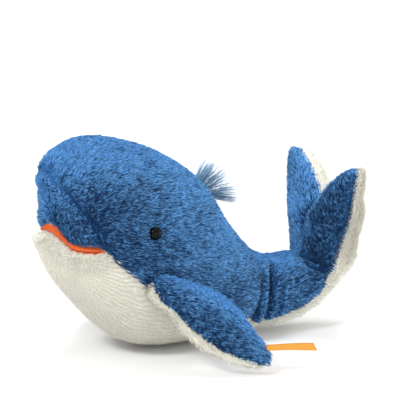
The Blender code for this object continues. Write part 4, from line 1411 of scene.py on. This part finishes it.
class WHALE_OT_hair(bpy.types.Operator):
    """Fan the long hair of the tuft on the back of the head"""

    bl_idname = "whale.hair"
    bl_label = "Hair tuft"

    strands: bpy.props.IntProperty(name="Strands", description="Number of strands in a lock", default=84)
    thickness: bpy.props.FloatProperty(
        name="Thickness", description="Thickness of a strand", default=0.00030, unit="LENGTH", precision=5
    )

    def execute(self, context):
        material, shader, graph = principled("tuft_hair", 0.65, Specular_IOR_Level=0.2)
        where = graph.add("ShaderNodeUVMap", {"uv_map": BAKE_MAP})
        parts = graph.add("ShaderNodeSeparateXYZ", Vector=where.outputs[0])
        shade = graph.add("ShaderNodeGroup", {"node_tree": tuft_shade()})
        # Painted shade at the strands' roots and painted light at their tips.
        shade.inputs["Root"].default_value = (0.060, 0.160, 0.340, 1.0)
        shade.inputs["Middle"].default_value = (0.230, 0.420, 0.610, 1.0)
        shade.inputs["Tip"].default_value = (0.400, 0.590, 0.750, 1.0)
        shade.inputs["Contrast"].default_value = 0.9
        graph.set(shade, "Along", parts.outputs[1])
        graph.set(shade, "Tint", parts.outputs[0])
        graph.set(shader, "Base Color", shade.outputs[0])
        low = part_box("hair_tuft")[0]
        back = node_tree(BODY_BLUE)
        chance = random.Random(5)
        strand = strand_mesh()
        mesh = bmesh.new()
        chart = mesh.loops.layers.uv.new(BAKE_MAP)
        front = Vector((low.x - 0.0025, MIDDLE, low.z + 0.0175))
        core = Vector((-0.060, MIDDLE, 0.090))
        foot = Vector((0.0168, 0.0, -0.0239))
        for share, slope, length, lift in LOCKS:
            sway = chance.uniform(-0.10, 0.10)
            for _ in range(self.strands):
                out = chance.gauss(0.0, 1.0)
                over = chance.gauss(0.0, 1.0)
                spot = front + foot * (share + over * 0.055) + Vector((0.0, out * 0.0018, 0.0))
                seat, normal, _, _ = back.find_nearest(spot)
                inward = -normal if normal.dot(seat - core) > 0.0 else normal
                angle = math.radians(slope - over * 3.0)
                reach = (length + STRAND_ROOT) * chance.uniform(0.74, 1.05)
                way = Vector((math.cos(angle), sway + out * 0.05, math.sin(angle))).normalized()
                start = seat + inward * 0.0015 - way * STRAND_ROOT
                raised = lift + chance.gauss(0.0, 0.0009)
                bend = Vector((-math.sin(angle), out * 0.15, math.cos(angle))) * raised
                tint = min(0.98, max(0.02, 0.74 - 0.75 * share + chance.gauss(0.0, 0.16)))
                add_strand(mesh, chart, strand, start, way * reach, bend, self.thickness, tint)
        hair = new_piece("hair_fan", mesh, material)
        bpy.data.objects.remove(strand)
        drop_attributes(hair, ("along",))
        if not hair.data.polygons:
            raise RuntimeError("the hair tuft is empty")
        return {"FINISHED"}


def strand_mesh():
    """One strand, one unit long, that thins to a point."""
    sizes = ((0.2, 1.0), (0.4, 0.95), (0.6, 0.9), (0.8, 0.8))
    levels = tuple((share, share, 0.0, size) for share, size in sizes)
    return tuft_mesh("strand", 0.5, levels + ((1.0, 1.0, 0.0, 0.3),))


def add_strand(mesh, chart, strand, start, reach, bend, thickness, tint):
    """Lay a copy of the strand along its reach, with its tip bent."""
    way = reach.normalized()
    across = way.cross(Vector((0.0, 1.0, 0.0))).normalized()
    side = way.cross(across)
    before = len(mesh.verts)
    mesh.from_mesh(strand.data)
    mesh.verts.ensure_lookup_table()
    along = mesh.verts.layers.float["along"]
    for vert in mesh.verts[before:]:
        share = vert[along]
        wide = side * (vert.co.y * thickness) + across * ((vert.co.x - share) * thickness * 4.0)
        vert.co = start + reach * share + bend * (share * share) + wide
        for loop in vert.link_loops:
            loop[chart].uv = (tint, 0.02 + 0.96 * share)


class WHALE_OT_ribbon(bpy.types.Operator):
    """Weave the blank ribbon tag in the left flipper's seam"""

    bl_idname = "whale.ribbon"
    bl_label = "Ribbon tag"

    def execute(self, context):
        material, shader, graph = principled("ribbon_weave", 0.55, Specular_IOR_Level=0.1)
        where = graph.add("ShaderNodeUVMap", {"uv_map": BAKE_MAP})
        scaled = graph.add("ShaderNodeVectorMath", {"operation": "SCALE"})
        graph.set(scaled, 0, where.outputs[0])
        scaled.inputs["Scale"].default_value = 34.0
        weave = graph.add("ShaderNodeGroup", {"node_tree": weave_group()})
        graph.set(weave, "Vector", scaled.outputs[0])
        weave.inputs["Thread"].default_value = 0.7
        colour = context.scene.whale_colours.ribbon
        dark = tuple(part * 0.72 for part in colour)
        shade = mix(graph, weave.outputs["Mask"], (*dark, 1.0), (*colour, 1.0))
        parts = graph.add("ShaderNodeSeparateXYZ", Vector=where.outputs[0])
        edge = graph.math("ABSOLUTE", graph.math("SUBTRACT", parts.outputs[1], 0.16))
        border = graph.math("GREATER_THAN", edge, 0.13)
        shade = mix(graph, border, shade, (colour[0] * 0.8, colour[1] * 0.7, colour[2] * 0.4, 1.0))
        graph.set(shader, "Base Color", shade)
        graph.roughen(shader, weave.outputs["Height"], 0.0002)
        solid = node_mesh(("ribbon_tag",))
        points = np.array([vert.co for vert in solid.verts])
        solid.free()
        hinge = Vector(JOINTS["tag_swing"]["pos_m"])
        side = Vector(JOINTS["tag_swing"]["axis"]).normalized()
        up = Vector((0.0, 0.0, 1.0))
        way = side.cross(up).normalized()
        reach = (points - np.array(hinge)) @ np.array(way)
        if abs(reach.min()) > reach.max():
            way = -way
            reach = -reach
        inset = 0.007
        length = float(reach.max()) + inset
        across = (points - np.array(hinge)) @ np.array(side)
        width = float(across.max() - across.min())
        sheet = bmesh.new()
        bmesh.ops.create_grid(sheet, x_segments=24, y_segments=8, size=0.5)
        chart = sheet.loops.layers.uv.new(BAKE_MAP)
        for face in sheet.faces:
            for loop in face.loops:
                spot = loop.vert.co
                loop[chart].uv = (spot.x + 0.5, (spot.y + 0.5) * width / length)
        for vert in sheet.verts:
            share = vert.co.x + 0.5
            lift = 0.0012 + 0.0026 * (1.0 - share) ** 2
            lift += 0.0012 * math.sin(math.pi * share) + 0.0006 * share * share
            curl = 0.0006 * (2.0 * vert.co.y) ** 2
            twist = 0.16 + 0.14 * smoothstep(share, 0.1, 0.9)
            spot = hinge + way * (share * length - inset)
            wide = side * math.cos(twist) - up * math.sin(twist)
            vert.co = spot + wide * (vert.co.y * width) + up * (lift + curl)
        item = new_piece("ribbon", sheet, material)
        thick = item.modifiers.new("Layers", "SOLIDIFY")
        thick.thickness = 0.0005
        thick.offset = 0.0
        settle(item)
        item["flat"] = (width, length)
        item["way"] = tuple(way)
        return {"FINISHED"}


class WHALE_OT_join(bpy.types.Operator):
    """Let every piece move with the frame, and hide the frame's nodes that the pieces take the place of"""

    bl_idname = "whale.join"
    bl_label = "Join to the frame"

    def execute(self, context):
        items = bpy.data.objects
        sides = ("left", "right")
        body_piles = [part + "_pile_" + side for part in ("head", "flank", "belly") for side in sides]
        for name in ["body_hide", "mouth_velour", "hair_fan"] + body_piles:
            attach(items[name], "body")
        for side in ("left", "right"):
            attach(items[side + "_eye_dome"], "body")
            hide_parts(side + "_eye")
            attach(items[side + "_lock_washer"], "body")
            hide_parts(side + "_eye_washer")
        step = Vector((TAIL_STEP, 0.0, 0.0))
        for name in ("tail_hide", "tail_blue_pile", "tail_white_pile"):
            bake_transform(items[name], "body", "tail", start=TAIL_HINGE - step, end=TAIL_HINGE + step)
        for name in ("fluke_hide", "fluke_blue_pile", "fluke_white_pile"):
            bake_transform(items[name], "tail", "flukes", start=FLUKE_FOOT, end=FLUKE_HINGE + FLUKE_RISE * 0.014)
        for side in ("left", "right"):
            hinge = FLIPPER_HINGES[side]
            low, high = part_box(side + "_flipper_stuffing")
            tip = Vector((high[0], low[1] if side == "left" else high[1], low[2]))
            along = (tip - hinge).normalized()
            for part in ("_flipper_hide", "_flipper_blue_pile", "_flipper_white_pile"):
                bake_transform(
                    items[side + part],
                    "body",
                    side + "_flipper",
                    start=hinge - along * 0.012,
                    end=hinge + along * 0.010,
                )
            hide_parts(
                *(side + "_flipper_" + part for part in ("top", "underside", "stuffing")),
            )
        hinge = Vector(JOINTS["tag_swing"]["pos_m"])
        way = Vector(items["ribbon"]["way"])
        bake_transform(items["ribbon"], "left_flipper", "tag", start=hinge - way * 0.001, end=hinge + way * 0.005)
        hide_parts("ribbon_tag")
        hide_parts(*BODY_BLUE, "belly_panel", "body_stuffing")
        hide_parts(*TAIL_NODES)
        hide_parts(*FLUKE_NODES)
        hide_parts("mouth_lining")
        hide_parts("hair_tuft")
        return {"FINISHED"}


class WHALE_OT_washers(bpy.types.Operator):
    """Lock the eyes with moulded nylon washers behind the fabric"""

    bl_idname = "whale.washers"
    bl_label = "Lock washers"

    def execute(self, context):
        material, shader, graph = principled("washer_nylon", 0.5)
        where = graph.add("ShaderNodeTexCoord").outputs["Object"]
        grain = graph.noise(where, 1500.0)
        shade = mix(graph, grain, (0.55, 0.55, 0.53, 1.0), (0.68, 0.68, 0.66, 1.0))
        graph.set(shader, "Base Color", shade)
        graph.roughen(shader, grain, 0.00005)
        room = context.scene.whale_shape.pile_room
        for side in ("left", "right"):
            axis = round_form(side + "_eye")[1]
            mesh = node_mesh((side + "_eye_washer",))
            bmesh.ops.bevel(
                mesh,
                geom=[edge for edge in mesh.edges if edge.calc_face_angle(0.0) > 0.8],
                offset=0.0002,
                segments=2,
                profile=0.5,
                affect="EDGES",
                material=-1,
            )
            bmesh.ops.translate(mesh, vec=axis * (-1.6 * room), verts=mesh.verts)
            new_piece(side + "_lock_washer", mesh, material)
        return {"FINISHED"}


class StageLook(bpy.types.PropertyGroup):
    """The camera and the studio light."""

    azimuth: bpy.props.FloatProperty(
        name="Azimuth",
        description="Camera's angle round the whale",
        default=-28.0,
    )
    elevation: bpy.props.FloatProperty(
        name="Elevation",
        description="Camera's angle over the floor",
        default=12.0,
    )
    distance: bpy.props.FloatProperty(
        name="Distance",
        description="Camera's distance",
        default=2.6,
        unit="LENGTH",
    )
    width: bpy.props.FloatProperty(
        name="View width", description="Width of the view at the whale", default=0.328, unit="LENGTH"
    )


class WHALE_OT_stage(bpy.types.Operator):
    """Lay the pale floor and set the lamps and the camera"""

    bl_idname = "whale.stage"
    bl_label = "Stage"

    def execute(self, context):
        scene = context.scene
        look = scene.whale_stage
        turn = math.radians(look.azimuth)
        rise = math.radians(look.elevation)
        back = Vector((math.sin(turn) * math.cos(rise), -math.cos(turn) * math.cos(rise), math.sin(rise)))
        right = Vector((math.cos(turn), math.sin(turn), 0.0))
        up = Vector((-math.sin(turn) * math.sin(rise), math.cos(turn) * math.sin(rise), math.cos(rise)))
        target = Vector((-0.0032, MIDDLE, 0.085)) + right * 0.0076 + up * 0.0323
        data = bpy.data.cameras.new("camera")
        data.sensor_width = 36.0
        data.lens = 36.0 * look.distance / look.width
        data.clip_end = 50.0
        camera = bpy.data.objects.new("camera", data)
        camera.location = target + back * look.distance
        camera.rotation_euler = back.to_track_quat("Z", "Y").to_euler()
        scene.collection.objects.link(camera)
        scene.camera = camera

        material, shader, graph = principled("pale_floor", 0.9, Specular_IOR_Level=0.1)
        where = graph.add("ShaderNodeTexCoord").outputs["Object"]
        grain = graph.noise(where, 300.0)
        shade = mix(graph, grain, (0.90, 0.90, 0.90, 1.0), (0.92, 0.92, 0.92, 1.0))
        graph.set(shader, "Base Color", shade)
        shader.inputs["Emission Color"].default_value = (1.0, 1.0, 1.0, 1.0)
        far = graph.add("ShaderNodeVectorMath", {"operation": "LENGTH"})
        graph.set(far, 0, where)
        glow = graph.ramp(socket(far.outputs, "Value"), 0.35, 1.2)
        graph.set(shader, "Emission Strength", graph.math("MULTIPLY", graph.seen(), glow))
        mesh = bmesh.new()
        bmesh.ops.create_grid(mesh, x_segments=1, y_segments=1, size=20.0)
        floor = new_piece("floor", mesh, material)

        world = bpy.data.worlds.new("studio")
        world.use_nodes = True
        scene.world = world
        sky = Graph(world.node_tree)
        shader = world.node_tree.nodes["Background"]
        shader.inputs["Color"].default_value = (1.0, 1.0, 1.0, 1.0)
        sky.set(shader, "Strength", sky.math("MULTIPLY_ADD", sky.seen(), 0.20, 0.80))

        for name, place, aim, size, power in (
            ("key", (-1.3, -0.5, 1.3), (-0.02, 0.0, 0.08), 0.45, 18.0),
            ("top", (0.5, 0.5, 1.7), (0.0, 0.0, 0.05), 1.0, 15.0),
            ("fill", (-0.1, -1.9, 0.2), (0.0, 0.0, 0.06), 1.4, 10.0),
            ("side", (1.5, -0.9, 0.2), (0.05, 0.0, 0.06), 1.0, 9.0),
        ):
            lamp = bpy.data.lights.new(name, "AREA")
            lamp.shape = "DISK"
            lamp.size = size
            lamp.energy = power
            item = bpy.data.objects.new(name, lamp)
            item.location = place
            item.rotation_euler = (Vector(place) - Vector(aim)).to_track_quat("Z", "Y").to_euler()
            scene.collection.objects.link(item)
        scene.view_settings.view_transform = "Standard"
        return {"FINISHED"}


class WHALE_PT_panel(bpy.types.Panel):
    """Lists the steps that make the whale"""

    bl_idname = "WHALE_PT_panel"
    bl_label = "Plush Whale"
    bl_space_type = "VIEW_3D"
    bl_region_type = "UI"
    bl_category = "Plush Whale"

    def draw(self, context):
        for step in STEPS:
            self.layout.operator(step)


STEPS = (
    "whale.stage",
    "whale.body_hide",
    "whale.flipper_hides",
    "whale.pile",
    "whale.mouth",
    "whale.eyes",
    "whale.washers",
    "whale.hair",
    "whale.ribbon",
    "whale.join",
)

CLASSES = (
    PileLook,
    WhaleShape,
    WhaleColours,
    StageLook,
    WHALE_OT_stage,
    WHALE_OT_body_hide,
    WHALE_OT_flipper_hides,
    WHALE_OT_pile,
    WHALE_OT_mouth,
    WHALE_OT_eyes,
    WHALE_OT_washers,
    WHALE_OT_hair,
    WHALE_OT_ribbon,
    WHALE_OT_join,
    WHALE_PT_panel,
)

SETTINGS = (
    ("whale_shape", WhaleShape),
    ("whale_colours", WhaleColours),
    ("whale_stage", StageLook),
    ("whale_blue", PileLook),
    ("whale_white", PileLook),
    ("whale_belly", PileLook),
)


def register():
    """Add the classes and the settings."""
    for item in CLASSES:
        bpy.utils.register_class(item)
    for name, kind in SETTINGS:
        setattr(bpy.types.Scene, name, bpy.props.PointerProperty(type=kind))


def unregister():
    """Take the settings and the classes out again."""
    for name, _ in reversed(SETTINGS):
        delattr(bpy.types.Scene, name)
    for item in reversed(CLASSES):
        bpy.utils.unregister_class(item)


# What the white and the ribbed pile have different from the blue.
LOOKS = {
    "whale_white": {"density": 900000.0, "contrast": 0.35, "speckle": 1.0, "patchiness": 0.5},
    "whale_belly": {
        "density": 1500000.0,
        "contrast": 0.45,
        "tuft_width": 0.0008,
        "clump_turn": 0.6,
        "speckle_turn": 0.8,
        "speckle": 0.8,
        "patchiness": 0.6,
    },
}


def main():
    """Make the whale step by step."""
    register()
    scene = bpy.context.scene
    for kind, look in LOOKS.items():
        for key, value in look.items():
            setattr(getattr(scene, kind), key, value)
    for step in STEPS:
        module, name = step.split(".")
        getattr(getattr(bpy.ops, module), name)()


if __name__ == "__main__":
    main()
